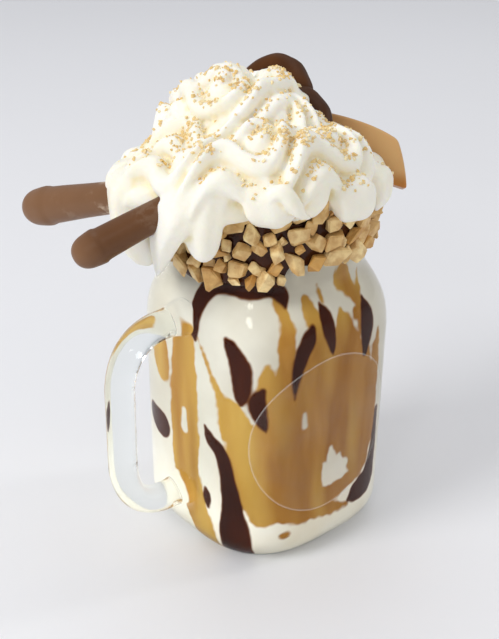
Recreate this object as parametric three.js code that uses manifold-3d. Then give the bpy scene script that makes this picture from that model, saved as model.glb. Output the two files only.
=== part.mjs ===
// A loaded milkshake in a glass jar mug. The mug is a soft square jar with a round neck and a
// D-shaped handle. Chocolate holds chopped nuts round the neck, and a piped swirl of whipped cream
// carries sugar crumbs, two chocolate fingers, a chocolate pretzel and a slab of caramel fudge.
// Units are millimetres. +Z is up, the origin is the middle of the base, the handle points along -X
// and the clear round label faces -Y.
import * as THREE from 'three';
import { mergeVertices } from 'three/addons/utils/BufferGeometryUtils.js';
import Module from 'manifold-3d';

const wasm = await Module();
wasm.setup();

// Driving dimensions of the glass mug
const BODY_HALF = 39; // half the width over the flats, at the shoulder
const BASE_HALF = 38.4; // half the width just above the heel
const SQUARENESS = 3; // exponent of the body's superellipse, where 2 is a circle
const WALL = 3.4;
const FLOOR = 6;
const HEEL_HEIGHT = 11;
const HEEL_INSET = 12;
const SHOULDER_Z = 86;
const SHOULDER_BLEND = 6; // how far below the shoulder the outline starts to turn round
const SHOULDER_BEND = 1.5; // above 1 the shoulder stays wide for longer
const NECK_Z = 109;
const NECK_RADIUS = 33.5;
const RIM_Z = 133.5;
const LIP_HEIGHT = 1.5; // height in which the lip is rounded over
const LIP_EDGE = [0.5, 0.4]; // the round's last edge, in from the wall and down from the top
const GAP = 0.3; // clearance kept between pieces that touch
const MUG_SIDES = 36;

// Handle: centre line of the grip and arms, and half axes of the rod's oval section
const GRIP_X = -64.8;
const ARM_TOP_Z = 93.5;
const ARM_LOW_Z = 23.5;
const ARM_END_X = -36.6; // inside the glass wall
const GRIP_CORNER = 19;
const CORNER_EASE = 2; // keeps the grip's bends a little rounder than a square corner
const ROD_RADIAL = 4.9;
const ROD_ACROSS = 5.7;
const ROD_FLARE = 1.35;
const FLARE_LENGTH = 9;

// Milkshake and label
const SHAKE_TOP_Z = 128;
const LABEL_RADIUS = 31;
const LABEL_ALONG = -4; // its middle, measured along the face from the face's middle
const LABEL_Z = 52;
const LABEL_THICK = 0.4;

// Chocolate collar and its chopped nuts
const COLLAR_THICK = 1.7;
const COLLAR_LOW_Z = 108;
const COLLAR_TOP_Z = 132.7;
const COLLAR_DRIP = 6;
const COLLAR_SIDES = 30;
const NUT_ROWS = 5;
const NUTS_PER_ROW = 26;
const NUT_FILLERS = 160; // small nuts tried between the rows
const NUT_SIZE = [7.6, 5.6, 4.8];
const NUT_Z = [109.8, 128.6]; // middles of the lowest and highest row
const NUT_SCALE = [0.8, 1.15];
const FILLER_SCALE = [0.55, 0.75];
const NUT_PULL = [0.7, 1.1]; // how far its corners are moved, as shares of their distance
const NUT_TILT = 0.7; // radians between its most and least tilt
const NUT_SEED = 7;
const NUT_SEAT = 1.9; // how far a nut's middle stands off the collar
const BAND_REACH = 42; // radius that no nut passes
const BAND_TOP_Z = 132.4;
const RIM_MARGIN = 4; // width over the rim that the cream keeps clear of

// Whipped cream: a star-nozzle rope laid in a rising spiral over a mound
const CREAM_TURNS = 2.7;
const CREAM_START = 2.2; // angle of the rope's first end, radians
const ROPE_LOBES = 6;
const LOBE_SAMPLES = 3;
const LOBE_DEPTH = 0.32;
const TWIST_LENGTH = 84; // length of rope in which its section turns once
const ROPE_RADIUS = [15, 9.5]; // at the first end and at the tip
const ROPE_ROUND = [0.05, 0.06]; // shares of the rope that its rounded ends take
const ROPE_BLUNT = 0.12; // radius of the rope's very ends, as a share
const ROPE_SWELL = 0.06; // how much the rope's thickness changes along it
const SWELL_WAVES = 2.2; // swells in a turn
const SPIRAL_RADIUS = [35, 10.5];
const SPIRAL_TAPER = 2.6; // above 1 the upper turns close in sooner
const SPIRAL_Z = [146, 165];
const SPIRAL_RISE = 1.5; // above 1 the first turn lies flatter
// Folds that hang low: angle along the spiral, spread and drop
const HANGS = [[2.9, 0.8, 15], [3.15, 0.3, 9], [6.2, 1.1, 13], [9, 0.9, 5]];
const STEPS_PER_TURN = 19;
const SWAY = 1.5; // the hand's side-to-side movement
const SWAY_WAVES = 5.3; // sways in a turn
const SWAY_LIFT = 0.6; // how much of the sway goes up and down
const LEAN = [7.5, 10]; // how far the mound stands off the jar's axis, at the rim and at the tip
const LEAN_ANGLE = 2.427; // direction of that offset, radians
const MOUND = [[134.4, 36], [140, 33], [150, 24], [158, 13]]; // heights and radii
const KNOB = [[150, 12], [158, 14.5], [165, 13], [171, 9.5], [175, 5]]; // the tip's heights and radii
const KNOB_TOP_Z = 176.5;
const KNOB_TWIST = 0.06; // radians that the tip's lobes turn in a millimetre
const CRUMB_SIZE = [1.0, 1.7];
const CRUMB_COUNT = 36;
const CRUMB_REACH = 44; // radius about the mound's middle in which crumbs fall
const CRUMB_STAND = 0.35; // height of a crumb's middle above the cream, as a share of its size
const CRUMB_SEED = 21;

// Chocolate fingers: tip and buried end on the centre line, and the radius at each
const FINGERS = [
  {
    name: 'chocolate_finger_back',
    tip: [-58.5, 66.6, 116.9],
    end: [-33.8, 2.6, 139.2],
    radii: [7, 4.4],
  },
  {
    name: 'chocolate_finger_front',
    tip: [-74.6, 6.4, 124.1],
    end: [-36.2, -11.6, 144.2],
    radii: [5.7, 4.2],
  },
];
// Its outline as shares of the radius at the tip: dome, then the low ridge where the coating ends
const FINGER_DOME = [[0, 0], [0.45, 0.12], [0.78, 0.38], [0.97, 0.8], [1, 1.25]];
const FINGER_RIDGE = [[1.04, 1.6], [0.99, 1.95]];
const FINGER_FOOT = [[1, 1], [0.7, 0.3]]; // the same at the buried end, measured back from it
const FINGER_SIDES = 14;

// Pretzel: size of its curve, its rod, and the place and two directions of its plane
const PRETZEL_UNIT = 7.6;
const PRETZEL_ROD = 4.2;
const PRETZEL_WIDE = [3.3, 0.4]; // the curve's half width at its middle, and how fast it shrinks
const PRETZEL_TALL = [2.5, 0.3]; // the same for its half height
const PRETZEL_CROSSING = [2, 2.9]; // where the strand lifts to cross itself
const PRETZEL_LIFT = 0.35; // that lift, as a share of the rod's radius
const PRETZEL_CUTS = [-3.8, -1.4, 1.4, 3.8]; // ends of the stretches that the strand is joined from
const PRETZEL_AT = [14.2, 5, 158.2];
const PRETZEL_ALONG = [-0.171, -0.864, -0.464];
const PRETZEL_UP = [0.685, -0.445, 0.576];

// Fudge slab: its corners in its own plane, thickness, edge round, place and two directions
const FUDGE_NOTCH = [-11, 9.5]; // keeps the slab's underside clear of the rim
const FUDGE_HEEL = [-6.5, 2];
const FUDGE_NOSE = [0, 0];
const FUDGE_BROW = [-3.5, 17.4];
const FUDGE_PEAK = [-34, 27.5];
const FUDGE_TAIL = [-33, 17.5];
const FUDGE_NOSE_BOW = [-0.4, 9]; // the point that bends the edge from nose to brow
const FUDGE_TOP_BOW = [-14, 24.5]; // the point that bends the top edge
const FUDGE_THICK = 10;
const FUDGE_ROUND = 1.6;
const FUDGE_AT = [42.45, -25.7, 128.6];
const FUDGE_ALONG = [0.7557, -0.6549, 0];
const FUDGE_UP = [0.2768, 0.3194, 0.9063];

const glass = { color: 0xe9eeee, roughness: 0.04, metalness: 0, transparent: true, opacity: 0.35 };
const materials = {
  glass: new THREE.MeshStandardMaterial(glass),
  shake: new THREE.MeshStandardMaterial({ color: 0xece6d6, roughness: 0.5, metalness: 0 }),
  label: new THREE.MeshStandardMaterial({ ...glass, color: 0xf2f2ee, roughness: 0.25 }),
  nuts: new THREE.MeshStandardMaterial({ color: 0xcdaa6c, roughness: 0.6, metalness: 0 }),
  cream: new THREE.MeshStandardMaterial({ color: 0xfaf6e9, roughness: 0.55, metalness: 0 }),
  chocolate: new THREE.MeshStandardMaterial({ color: 0x7a5238, roughness: 0.45, metalness: 0 }),
  fudge: new THREE.MeshStandardMaterial({ color: 0xbf8d50, roughness: 0.45, metalness: 0 }),
};

const { lerp, smoothstep } = THREE.MathUtils;

// Repeatable random numbers between 0 and 1, by a linear congruential rule
function seededRandom(seed) {
  const factor = 1664525;
  const step = 1013904223;
  const range = 2 ** 32;
  let state = seed;
  return () => {
    state = (state * factor + step) % range;
    return state / range;
  };
}

// A closed surface through rings of points. With two poles the ends are fans, and without them the
// last ring joins the first. Rings run counter-clockwise about the direction of travel.
function closedSkin(rings, poles) {
  const sides = rings[0].length;
  const points = rings.flat();
  const index = [];
  const spans = poles ? rings.length - 1 : rings.length;
  for (let i = 0; i < spans; i++) {
    const low = i * sides;
    const high = ((i + 1) % rings.length) * sides;
    for (let j = 0; j < sides; j++) {
      const k = (j + 1) % sides;
      index.push(low + j, low + k, high + k, low + j, high + k, high + j);
    }
  }
  if (poles) {
    const first = points.push(poles[0]) - 1;
    const last = points.push(poles[1]) - 1;
    const top = (rings.length - 1) * sides;
    for (let j = 0; j < sides; j++) {
      const k = (j + 1) % sides;
      index.push(first, k, j, last, top + j, top + k);
    }
  }
  return new THREE.BufferGeometry().setFromPoints(points).setIndex(index);
}

// A three.js geometry as a solid that can be joined and cut
function solidOf(geometry) {
  const bare = geometry.clone();
  bare.deleteAttribute('normal');
  bare.deleteAttribute('uv');
  const merged = mergeVertices(bare, 1e-3);
  return new wasm.Manifold(new wasm.Mesh({
    numProp: 3,
    vertProperties: merged.getAttribute('position').array,
    triVerts: new Uint32Array(merged.index.array),
  }));
}

// A joined or cut solid as a geometry again
function geometryOf(solid) {
  const mesh = solid.getMesh();
  return new THREE.BufferGeometry()
    .setAttribute('position', new THREE.BufferAttribute(mesh.vertProperties, 3))
    .setIndex(new THREE.BufferAttribute(mesh.triVerts, 1));
}

function pieceOf(name, geometry, material) {
  geometry.computeVertexNormals();
  const mesh = new THREE.Mesh(geometry, material);
  mesh.name = name;
  return mesh;
}

// Outline of the jar: a superellipse whose half width and squareness change with height
function outsideHalf(z) {
  if (z < HEEL_HEIGHT) {
    const t = 1 - z / HEEL_HEIGHT;
    return BASE_HALF - HEEL_INSET * (1 - Math.sqrt(1 - t * t));
  }
  if (z < SHOULDER_Z) {
    return lerp(BASE_HALF, BODY_HALF, (z - HEEL_HEIGHT) / (SHOULDER_Z - HEEL_HEIGHT));
  }
  const t = Math.min((z - SHOULDER_Z) / (NECK_Z - SHOULDER_Z), 1);
  return NECK_RADIUS + (BODY_HALF - NECK_RADIUS) * (0.5 + 0.5 * Math.cos(Math.PI * t ** SHOULDER_BEND));
}

function insideHalf(z) {
  const wall = outsideHalf(Math.max(z, HEEL_HEIGHT)) - WALL;
  const t = Math.max(1 - (z - FLOOR) / (HEEL_HEIGHT - WALL), 0);
  return wall - (HEEL_INSET - WALL) * (1 - Math.sqrt(1 - t * t));
}

function squareness(z) {
  return lerp(SQUARENESS, 2, smoothstep(z, SHOULDER_Z - SHOULDER_BLEND, NECK_Z));
}

function outlineRadius(angle, half, power) {
  const c = Math.abs(Math.cos(angle)) ** power;
  const s = Math.abs(Math.sin(angle)) ** power;
  return half / (c + s) ** (1 / power);
}

function jarRing(z, half, power = squareness(z)) {
  return Array.from({ length: MUG_SIDES }, (_, j) => {
    const angle = (2 * Math.PI * j) / MUG_SIDES;
    const r = outlineRadius(angle, half, power);
    return new THREE.Vector3(r * Math.cos(angle), r * Math.sin(angle), z);
  });
}

// Heights of count steps from low to high, with both ends
function heights(low, high, count) {
  return Array.from({ length: count + 1 }, (_, i) => lerp(low, high, i / count));
}

const HEEL_STEPS = heights(0, HEEL_HEIGHT, 4);
const SHOULDER_STEPS = heights(SHOULDER_Z - SHOULDER_BLEND, NECK_Z, 6);
const INNER_HEEL_STEPS = heights(FLOOR, FLOOR + HEEL_HEIGHT - WALL, 3);
const axisPoint = (z) => new THREE.Vector3(0, 0, z);

function jarShell() {
  const [edgeIn, edgeDown] = LIP_EDGE;
  const outside = [...HEEL_STEPS, ...SHOULDER_STEPS, RIM_Z - LIP_HEIGHT];
  const inside = [RIM_Z - LIP_HEIGHT, ...SHOULDER_STEPS.toReversed(), ...INNER_HEEL_STEPS.toReversed()];
  const rim = jarRing(RIM_Z, NECK_RADIUS - WALL / 2);
  const rings = [
    ...outside.map((z) => jarRing(z, outsideHalf(z))),
    jarRing(RIM_Z - edgeDown, NECK_RADIUS - edgeIn),
    rim,
    jarRing(RIM_Z - edgeDown, NECK_RADIUS - WALL + edgeIn),
    ...inside.map((z) => jarRing(z, insideHalf(z))),
  ];
  return closedSkin(rings, [axisPoint(0), axisPoint(FLOOR)]);
}

// The jar's outer form as one plug, grown by a margin, for cutting what sits on the glass
function jarPlug(margin) {
  const stations = [...HEEL_STEPS, ...SHOULDER_STEPS];
  const rings = stations.map((z) => jarRing(z, outsideHalf(z) + margin));
  const top = RIM_Z + margin;
  rings.push(jarRing(top, NECK_RADIUS + margin));
  return solidOf(closedSkin(rings, [axisPoint(0), axisPoint(top)]));
}

// Handle: an oval rod along two arms, two rounded corners and a straight grip, flared at the glass
class HandleLine extends THREE.CurvePath {
  constructor() {
    super();
    const at = (x, z) => new THREE.Vector3(x, 0, z);
    const arms = [[ARM_TOP_Z, -1], [ARM_LOW_Z, 1]];
    const [start, lowStart] = arms.map(([z]) => at(ARM_END_X, z));
    const [armEnd, lowArmEnd] = arms.map(([z]) => at(GRIP_X + GRIP_CORNER, z));
    const [gripTop, gripLow] = arms.map(([z, down]) => at(GRIP_X, z + down * GRIP_CORNER));
    const [corner, lowCorner] = arms.map(([z]) => at(GRIP_X + CORNER_EASE, z));
    this.add(new THREE.LineCurve3(start, armEnd));
    this.add(new THREE.QuadraticBezierCurve3(armEnd, corner, gripTop));
    this.add(new THREE.LineCurve3(gripTop, gripLow));
    this.add(new THREE.QuadraticBezierCurve3(gripLow, lowCorner, lowArmEnd));
    this.add(new THREE.LineCurve3(lowArmEnd, lowStart));
  }
}

function handleRod() {
  const line = new HandleLine();
  const steps = 26;
  const sides = 12;
  const across = new THREE.Vector3(0, 1, 0);
  const length = line.getLength();
  const rings = [];
  for (let i = 0; i <= steps; i++) {
    const point = line.getPointAt(i / steps);
    const outward = new THREE.Vector3().crossVectors(across, line.getTangentAt(i / steps));
    const fromEnd = length * Math.min(i, steps - i) / steps;
    const flare = lerp(ROD_FLARE, 1, smoothstep(fromEnd, 0, FLARE_LENGTH));
    rings.push(Array.from({ length: sides }, (_, j) => {
      const turn = (2 * Math.PI * (j + 0.5)) / sides;
      return point.clone()
        .addScaledVector(outward, flare * ROD_RADIAL * Math.cos(turn))
        .addScaledVector(across, flare * ROD_ACROSS * Math.sin(turn));
    }));
  }
  return closedSkin(rings, [line.getPointAt(0), line.getPointAt(1)]);
}

function glassMug() {
  return solidOf(jarShell()).add(solidOf(handleRod()));
}

function milkshake() {
  const stations = [...INNER_HEEL_STEPS, ...SHOULDER_STEPS, SHAKE_TOP_Z];
  const rings = stations.map((z, i) => jarRing(i ? z : z + GAP, insideHalf(z) - GAP));
  return closedSkin(rings, [axisPoint(FLOOR + GAP), axisPoint(SHAKE_TOP_Z)]);
}

// The point of the jar's -Y face at a distance along its outline from the face's middle
function facePoint(along, z, half) {
  const steps = 24;
  let x = 0;
  let y = half;
  for (let i = 0; i < steps; i++) {
    const slope = Math.sign(x) * (Math.abs(x) / y) ** (SQUARENESS - 1);
    x += along / steps / Math.hypot(1, slope);
    y = (half ** SQUARENESS - Math.abs(x) ** SQUARENESS) ** (1 / SQUARENESS);
  }
  return new THREE.Vector3(x, -y, z);
}

// Clear round label: two discs a film's thickness apart, both bent round the jar's -Y face
function labelDisc() {
  const sides = 26;
  const ringAt = (share, lift) => Array.from({ length: sides }, (_, j) => {
    const turn = (2 * Math.PI * j) / sides;
    return labelPoint(share * Math.cos(turn), share * Math.sin(turn), lift);
  });
  const labelPoint = (u, v, lift) => {
    const z = LABEL_Z + LABEL_RADIUS * v;
    return facePoint(LABEL_ALONG + LABEL_RADIUS * u, z, outsideHalf(z) + lift);
  };
  const inner = 2 * GAP;
  const outer = inner + LABEL_THICK;
  const shares = [0.25, 0.5, 0.75, 1];
  const rings = [
    ...shares.map((share) => ringAt(share, inner)),
    ...shares.toReversed().map((share) => ringAt(share, outer)),
  ];
  return closedSkin(rings, [labelPoint(0, 0, inner), labelPoint(0, 0, outer)]);
}

// Chocolate collar: a skin over the neck whose lower edge runs down the shoulder in drips
function chocolateCollar() {
  const rings = [];
  for (let j = 0; j < COLLAR_SIDES; j++) {
    const angle = (2 * Math.PI * j) / COLLAR_SIDES;
    const drip = Math.max(Math.sin(3 * angle + 1) * Math.cos(5 * angle), 0);
    const low = COLLAR_LOW_Z - COLLAR_DRIP * drip;
    const at = (z, lift) => {
      const r = outlineRadius(angle, outsideHalf(z), squareness(z)) + lift;
      return new THREE.Vector3(r * Math.cos(angle), r * Math.sin(angle), z);
    };
    const levels = [low, NECK_Z, COLLAR_TOP_Z];
    rings.push([
      ...levels.map((z) => at(z, 2 * GAP)),
      ...levels.toReversed().map((z) => at(z, COLLAR_THICK)),
    ]);
  }
  return closedSkin(rings);
}

// One chopped nut: a block with its corners pulled out of true
function nutChunk(scale, random) {
  const block = new THREE.BoxGeometry(...NUT_SIZE.map((side) => side * scale));
  block.deleteAttribute('normal');
  block.deleteAttribute('uv');
  const chunk = mergeVertices(block);
  const corners = chunk.getAttribute('position');
  for (let i = 0; i < corners.count; i++) {
    const pull = [0, 1, 2].map(() => lerp(...NUT_PULL, random()));
    corners.setXYZ(i, corners.getX(i) * pull[0], corners.getY(i) * pull[1], corners.getZ(i) * pull[2]);
  }
  return chunk;
}

// A chopped nut seated on the collar, its flat side roughly along the glass
function seatedNut(angle, z, scale, random) {
  const r = outlineRadius(angle, outsideHalf(z), squareness(z)) + COLLAR_THICK + NUT_SEAT * scale;
  const tip = () => NUT_TILT * (random() - 0.5);
  const tilt = new THREE.Euler(tip(), tip(), Math.PI * random());
  const chunk = nutChunk(scale, random)
    .applyMatrix4(new THREE.Matrix4().makeRotationFromEuler(tilt))
    .rotateY(Math.PI / 2)
    .rotateZ(angle)
    .translate(r * Math.cos(angle), r * Math.sin(angle), z);
  return solidOf(chunk);
}

// Large nuts stand in uneven rows, small ones fill in, and each stays only where it meets no other
function nutCollar() {
  const random = seededRandom(NUT_SEED);
  const jar = jarPlug(GAP);
  const room = neckSpace(0);
  const large = NUT_ROWS * NUTS_PER_ROW;
  let nuts = null;
  for (let i = 0; i < large + NUT_FILLERS; i++) {
    const row = i % NUT_ROWS;
    const place = (Math.floor(i / NUT_ROWS) + 0.5 * (row % 2) + 0.3 * random()) / NUTS_PER_ROW;
    const angle = 2 * Math.PI * (i < large ? place : random());
    const z = lerp(...NUT_Z, i < large ? row / (NUT_ROWS - 1) : random()) + random() - 0.5;
    const scale = lerp(...(i < large ? NUT_SCALE : FILLER_SCALE), random());
    const nut = seatedNut(angle, z, scale, random);
    if (!nut.intersect(jar).isEmpty() || !nut.subtract(room).isEmpty()) continue;
    if (nuts && !nut.intersect(nuts).isEmpty()) continue;
    nuts = nuts ? nuts.add(nut) : nut;
  }
  return largestBody(solidOf(chocolateCollar()).subtract(jar).add(nuts));
}

// The largest connected piece of a solid once its corners are merged, without scraps or bubbles
function largestBody(solid) {
  const bodies = solidOf(geometryOf(solid)).decompose();
  return bodies.reduce((best, body) => (body.volume() > best.volume() ? body : best));
}

// Offset of the cream mound from the jar's axis at a share of its height
function lean(share) {
  const off = lerp(...LEAN, share);
  return new THREE.Vector3(off * Math.cos(LEAN_ANGLE), off * Math.sin(LEAN_ANGLE), 0);
}

// How round an end of the rope is: 0 at the end itself, 1 past the rounded stretch
function roundEnd(distance, stretch) {
  const t = 1 - Math.min(distance / stretch, 1);
  return Math.max(Math.sqrt(1 - t * t), ROPE_BLUNT);
}

// Middle, radius and twist of the cream rope at a share of its length
function ropeFrame(share) {
  const angle = CREAM_START + 2 * Math.PI * CREAM_TURNS * share;
  const sway = SWAY * Math.sin(SWAY_WAVES * angle);
  const inward = 1 - Math.cos((Math.PI / 2) * share) ** SPIRAL_TAPER;
  const spiral = lerp(...SPIRAL_RADIUS, inward) + sway * (1 - share);
  const drops = HANGS.map(([at, spread, drop]) => drop * Math.exp(-(((angle - at) / spread) ** 2)));
  const hang = drops.reduce((sum, drop) => sum + drop);
  const middle = lean(share).add(new THREE.Vector3(
    spiral * Math.cos(angle),
    spiral * Math.sin(angle),
    lerp(...SPIRAL_Z, share ** SPIRAL_RISE) + SWAY_LIFT * sway - hang,
  ));
  const ends = roundEnd(share, ROPE_ROUND[0]) * roundEnd(1 - share, ROPE_ROUND[1]);
  const radius = lerp(...ROPE_RADIUS, share) * (1 + ROPE_SWELL * Math.sin(SWELL_WAVES * angle + 1)) * ends;
  const meanSpiral = lerp(SPIRAL_RADIUS[0], spiral, 0.5);
  const twist = (2 * Math.PI * CREAM_TURNS * share * meanSpiral) / TWIST_LENGTH;
  return { angle, middle, radius, twist: 2 * Math.PI * twist };
}

// Share of the full radius at a place on the star, where whole numbers are the grooves
function lobeShare(phase) {
  return 1 - LOBE_DEPTH * (1 - Math.abs(Math.sin(Math.PI * phase)));
}

// One star-shaped section of the rope, turned a little further at each step
function ropeRing(share) {
  const { angle, middle, radius, twist } = ropeFrame(share);
  const outward = new THREE.Vector3(Math.cos(angle), Math.sin(angle), 0);
  return Array.from({ length: ROPE_LOBES * LOBE_SAMPLES }, (_, j) => {
    const phase = j / LOBE_SAMPLES;
    const out = radius * lobeShare(phase);
    const turn = (2 * Math.PI * phase) / ROPE_LOBES - twist;
    return middle.clone()
      .addScaledVector(outward, -out * Math.cos(turn))
      .add(axisPoint(out * Math.sin(turn)));
  });
}

// The rope is joined from stretches that are each shorter than a turn
function creamRope() {
  const steps = Math.round(CREAM_TURNS * STEPS_PER_TURN);
  const stretch = Math.round(0.75 * STEPS_PER_TURN);
  let rope = null;
  for (let from = 0; from < steps; from += stretch) {
    const to = Math.min(from + stretch, steps);
    const shares = heights(from / steps, to / steps, to - from);
    const rings = shares.map(ropeRing);
    const poles = [shares[0], shares.at(-1)].map((share) => ropeFrame(share).middle);
    const piece = solidOf(closedSkin(rings, poles));
    rope = rope ? rope.add(piece) : piece;
  }
  return rope;
}

// The tip that the rope ends in: star-shaped rings that narrow and turn as they rise
function creamKnob() {
  const middle = lean(1);
  const rings = KNOB.map(([z, r]) => Array.from({ length: ROPE_LOBES * LOBE_SAMPLES }, (_, j) => {
    const phase = j / LOBE_SAMPLES;
    const turn = (2 * Math.PI * phase) / ROPE_LOBES + KNOB_TWIST * (z - KNOB_TOP_Z);
    const out = r * lobeShare(phase);
    return new THREE.Vector3(out * Math.cos(turn), out * Math.sin(turn), z).add(middle);
  }));
  const [footZ] = KNOB[0];
  return solidOf(closedSkin(rings, [middle.clone().setZ(footZ), middle.clone().setZ(KNOB_TOP_Z)]));
}

// Mound under the rope, with a plug that stands in the neck on the milkshake
function creamMound() {
  const bore = NECK_RADIUS - WALL - GAP;
  const sides = 24;
  const foot = SHAKE_TOP_Z + GAP;
  const stations = [[foot, bore], [RIM_Z + GAP, bore], ...MOUND];
  const rings = stations.map(([z, r]) => Array.from({ length: sides }, (_, j) => {
    const angle = (2 * Math.PI * j) / sides;
    const above = smoothstep(z, RIM_Z + 1, SPIRAL_Z[1]);
    return lean(above).multiplyScalar(above).add(
      new THREE.Vector3(r * Math.cos(angle), r * Math.sin(angle), z));
  }));
  const [topZ] = MOUND.at(-1);
  return solidOf(closedSkin(rings, [axisPoint(foot), lean(1).setZ(topZ)]));
}

// What the cream keeps clear of: the milkshake, the neck with its rim, and the band of nuts
function neckSpace(grow) {
  const bore = NECK_RADIUS - WALL - GAP;
  const profile = [
    [BAND_REACH + grow, SHOULDER_Z],
    [BAND_REACH + grow, BAND_TOP_Z + grow],
    [NECK_RADIUS + RIM_MARGIN, RIM_Z + grow],
    [bore, RIM_Z + grow],
    [bore, SHAKE_TOP_Z + GAP],
  ];
  const rings = profile.map(([r, z]) => jarRing(z, r, 2));
  return solidOf(closedSkin(rings, [axisPoint(SHOULDER_Z), axisPoint(SHAKE_TOP_Z + GAP)]));
}

// A chocolate finger: a round rod with a domed tip and a low ridge where the coating meets it
function finger({ tip, end, radii }, grow = 0) {
  const start = new THREE.Vector3(...tip);
  const axis = new THREE.Vector3(...end).sub(start);
  const length = axis.length();
  const [tipRadius, endRadius] = radii;
  const points = [...FINGER_DOME, ...FINGER_RIDGE].map(([r, along]) => new THREE.Vector2(
    r ? r * tipRadius + grow : 0,
    along * tipRadius - (along ? 0 : grow),
  ));
  for (const [r, back] of FINGER_FOOT) {
    points.push(new THREE.Vector2(r * endRadius + grow, length - back * endRadius));
  }
  points.push(new THREE.Vector2(0, length + grow));
  const turn = new THREE.Quaternion().setFromUnitVectors(new THREE.Vector3(0, 1, 0), axis.normalize());
  return new THREE.LatheGeometry(points, FINGER_SIDES).applyQuaternion(turn).translate(...tip);
}

// The pretzel's strand: a curve that loops twice and crosses itself, lifted where it crosses
function strandPoint(t) {
  const [wide, narrowing] = PRETZEL_WIDE;
  const [tall, lowering] = PRETZEL_TALL;
  const crossing = smoothstep(Math.abs(t), ...PRETZEL_CROSSING);
  return new THREE.Vector3(
    PRETZEL_UNIT * (wide - narrowing * t * t) * Math.sin(t),
    -PRETZEL_UNIT * (tall - lowering * t * t) * Math.cos(t),
    PRETZEL_LIFT * PRETZEL_ROD * Math.sign(t) * crossing,
  );
}

function strandTube(from, to, rod) {
  const steps = 11;
  const sides = 9;
  const step = 0.01;
  const facing = new THREE.Vector3(0, 0, 1);
  const rings = heights(from, to, steps).map((t) => {
    const point = strandPoint(t);
    const ahead = strandPoint(t + step).sub(strandPoint(t - step)).normalize();
    const side = new THREE.Vector3().crossVectors(facing, ahead).normalize();
    const lift = new THREE.Vector3().crossVectors(ahead, side);
    return Array.from({ length: sides }, (_, j) => {
      const turn = (2 * Math.PI * j) / sides;
      return point.clone()
        .addScaledVector(side, rod * Math.cos(turn))
        .addScaledVector(lift, rod * Math.sin(turn));
    });
  });
  return closedSkin(rings, [strandPoint(from), strandPoint(to)]);
}

// A direction frame as a matrix: along, up and facing, with a place
function placed(along, up, at) {
  const x = new THREE.Vector3(...along).normalize();
  const z = new THREE.Vector3().crossVectors(x, new THREE.Vector3(...up)).normalize();
  const y = new THREE.Vector3().crossVectors(z, x);
  return new THREE.Matrix4().makeBasis(x, y, z).setPosition(...at);
}

function pretzel(grow = 0) {
  const rod = PRETZEL_ROD + grow;
  const stand = placed(PRETZEL_ALONG, PRETZEL_UP, PRETZEL_AT);
  return PRETZEL_CUTS.slice(1)
    .map((to, i) => strandTube(PRETZEL_CUTS[i], to, rod).applyMatrix4(stand))
    .map(solidOf)
    .reduce((joined, piece) => joined.add(piece));
}

// Fudge slab: a cut block with a bowed top and softly rounded edges
function fudge(grow = 0) {
  const shape = new THREE.Shape();
  shape.moveTo(...FUDGE_NOTCH);
  shape.lineTo(...FUDGE_HEEL);
  shape.lineTo(...FUDGE_NOSE);
  shape.quadraticCurveTo(...FUDGE_NOSE_BOW, ...FUDGE_BROW);
  shape.quadraticCurveTo(...FUDGE_TOP_BOW, ...FUDGE_PEAK);
  shape.lineTo(...FUDGE_TAIL);
  shape.closePath();
  const slab = new THREE.ExtrudeGeometry(shape, {
    depth: FUDGE_THICK - 2 * FUDGE_ROUND,
    bevelThickness: FUDGE_ROUND + grow,
    bevelSize: FUDGE_ROUND,
    bevelOffset: grow - FUDGE_ROUND,
    bevelSegments: 2,
    curveSegments: 5,
  });
  slab.translate(0, 0, FUDGE_ROUND - FUDGE_THICK);
  return slab.applyMatrix4(placed(FUDGE_ALONG, FUDGE_UP, FUDGE_AT));
}

// Sugar crumbs fall straight down and stay where they first meet the cream
function withCrumbs(cream, garnish) {
  const random = seededRandom(CRUMB_SEED);
  const target = new THREE.Mesh(geometryOf(cream));
  const caster = new THREE.Raycaster();
  const down = new THREE.Vector3(0, 0, -1);
  let solid = cream;
  for (let i = 0; i < CRUMB_COUNT; i++) {
    const size = lerp(CRUMB_SIZE[1], CRUMB_SIZE[0], i / CRUMB_COUNT);
    const reach = CRUMB_REACH * Math.sqrt(random());
    const angle = 2 * Math.PI * random();
    const from = new THREE.Vector3(reach * Math.cos(angle), reach * Math.sin(angle), 2 * RIM_Z);
    caster.set(from.add(lean(0.5)), down);
    const hit = caster.intersectObject(target)[0];
    if (!hit || hit.point.z < RIM_Z) continue;
    const crumb = new THREE.OctahedronGeometry(size)
      .rotateX(Math.PI * random())
      .rotateZ(Math.PI * random())
      .translate(hit.point.x, hit.point.y, hit.point.z + CRUMB_STAND * size);
    const piece = solidOf(crumb);
    if (piece.intersect(garnish).isEmpty()) solid = solid.add(piece);
  }
  return solid;
}

function whippedCream() {
  const garnish = FINGERS.map((each) => solidOf(finger(each, GAP)))
    .concat(pretzel(GAP), solidOf(fudge(GAP)))
    .reduce((joined, piece) => joined.add(piece));
  const whole = creamRope().add(creamMound()).add(creamKnob());
  const cream = whole.subtract(neckSpace(GAP)).subtract(garnish);
  return largestBody(withCrumbs(largestBody(cream), garnish));
}

const group = new THREE.Group();
group.name = 'milkshake_in_jar_mug';
group.add(
  pieceOf('glass_mug', geometryOf(glassMug()), materials.glass),
  pieceOf('milkshake', milkshake(), materials.shake),
  pieceOf('clear_label', labelDisc(), materials.label),
  pieceOf('nut_rim', geometryOf(nutCollar()), materials.nuts),
  pieceOf('whipped_cream', geometryOf(whippedCream()), materials.cream),
  pieceOf('chocolate_pretzel', geometryOf(pretzel()), materials.chocolate),
  pieceOf('caramel_fudge', fudge(), materials.fudge),
);
for (const each of FINGERS) {
  group.add(pieceOf(each.name, finger(each), materials.chocolate));
}

export default group;
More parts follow.
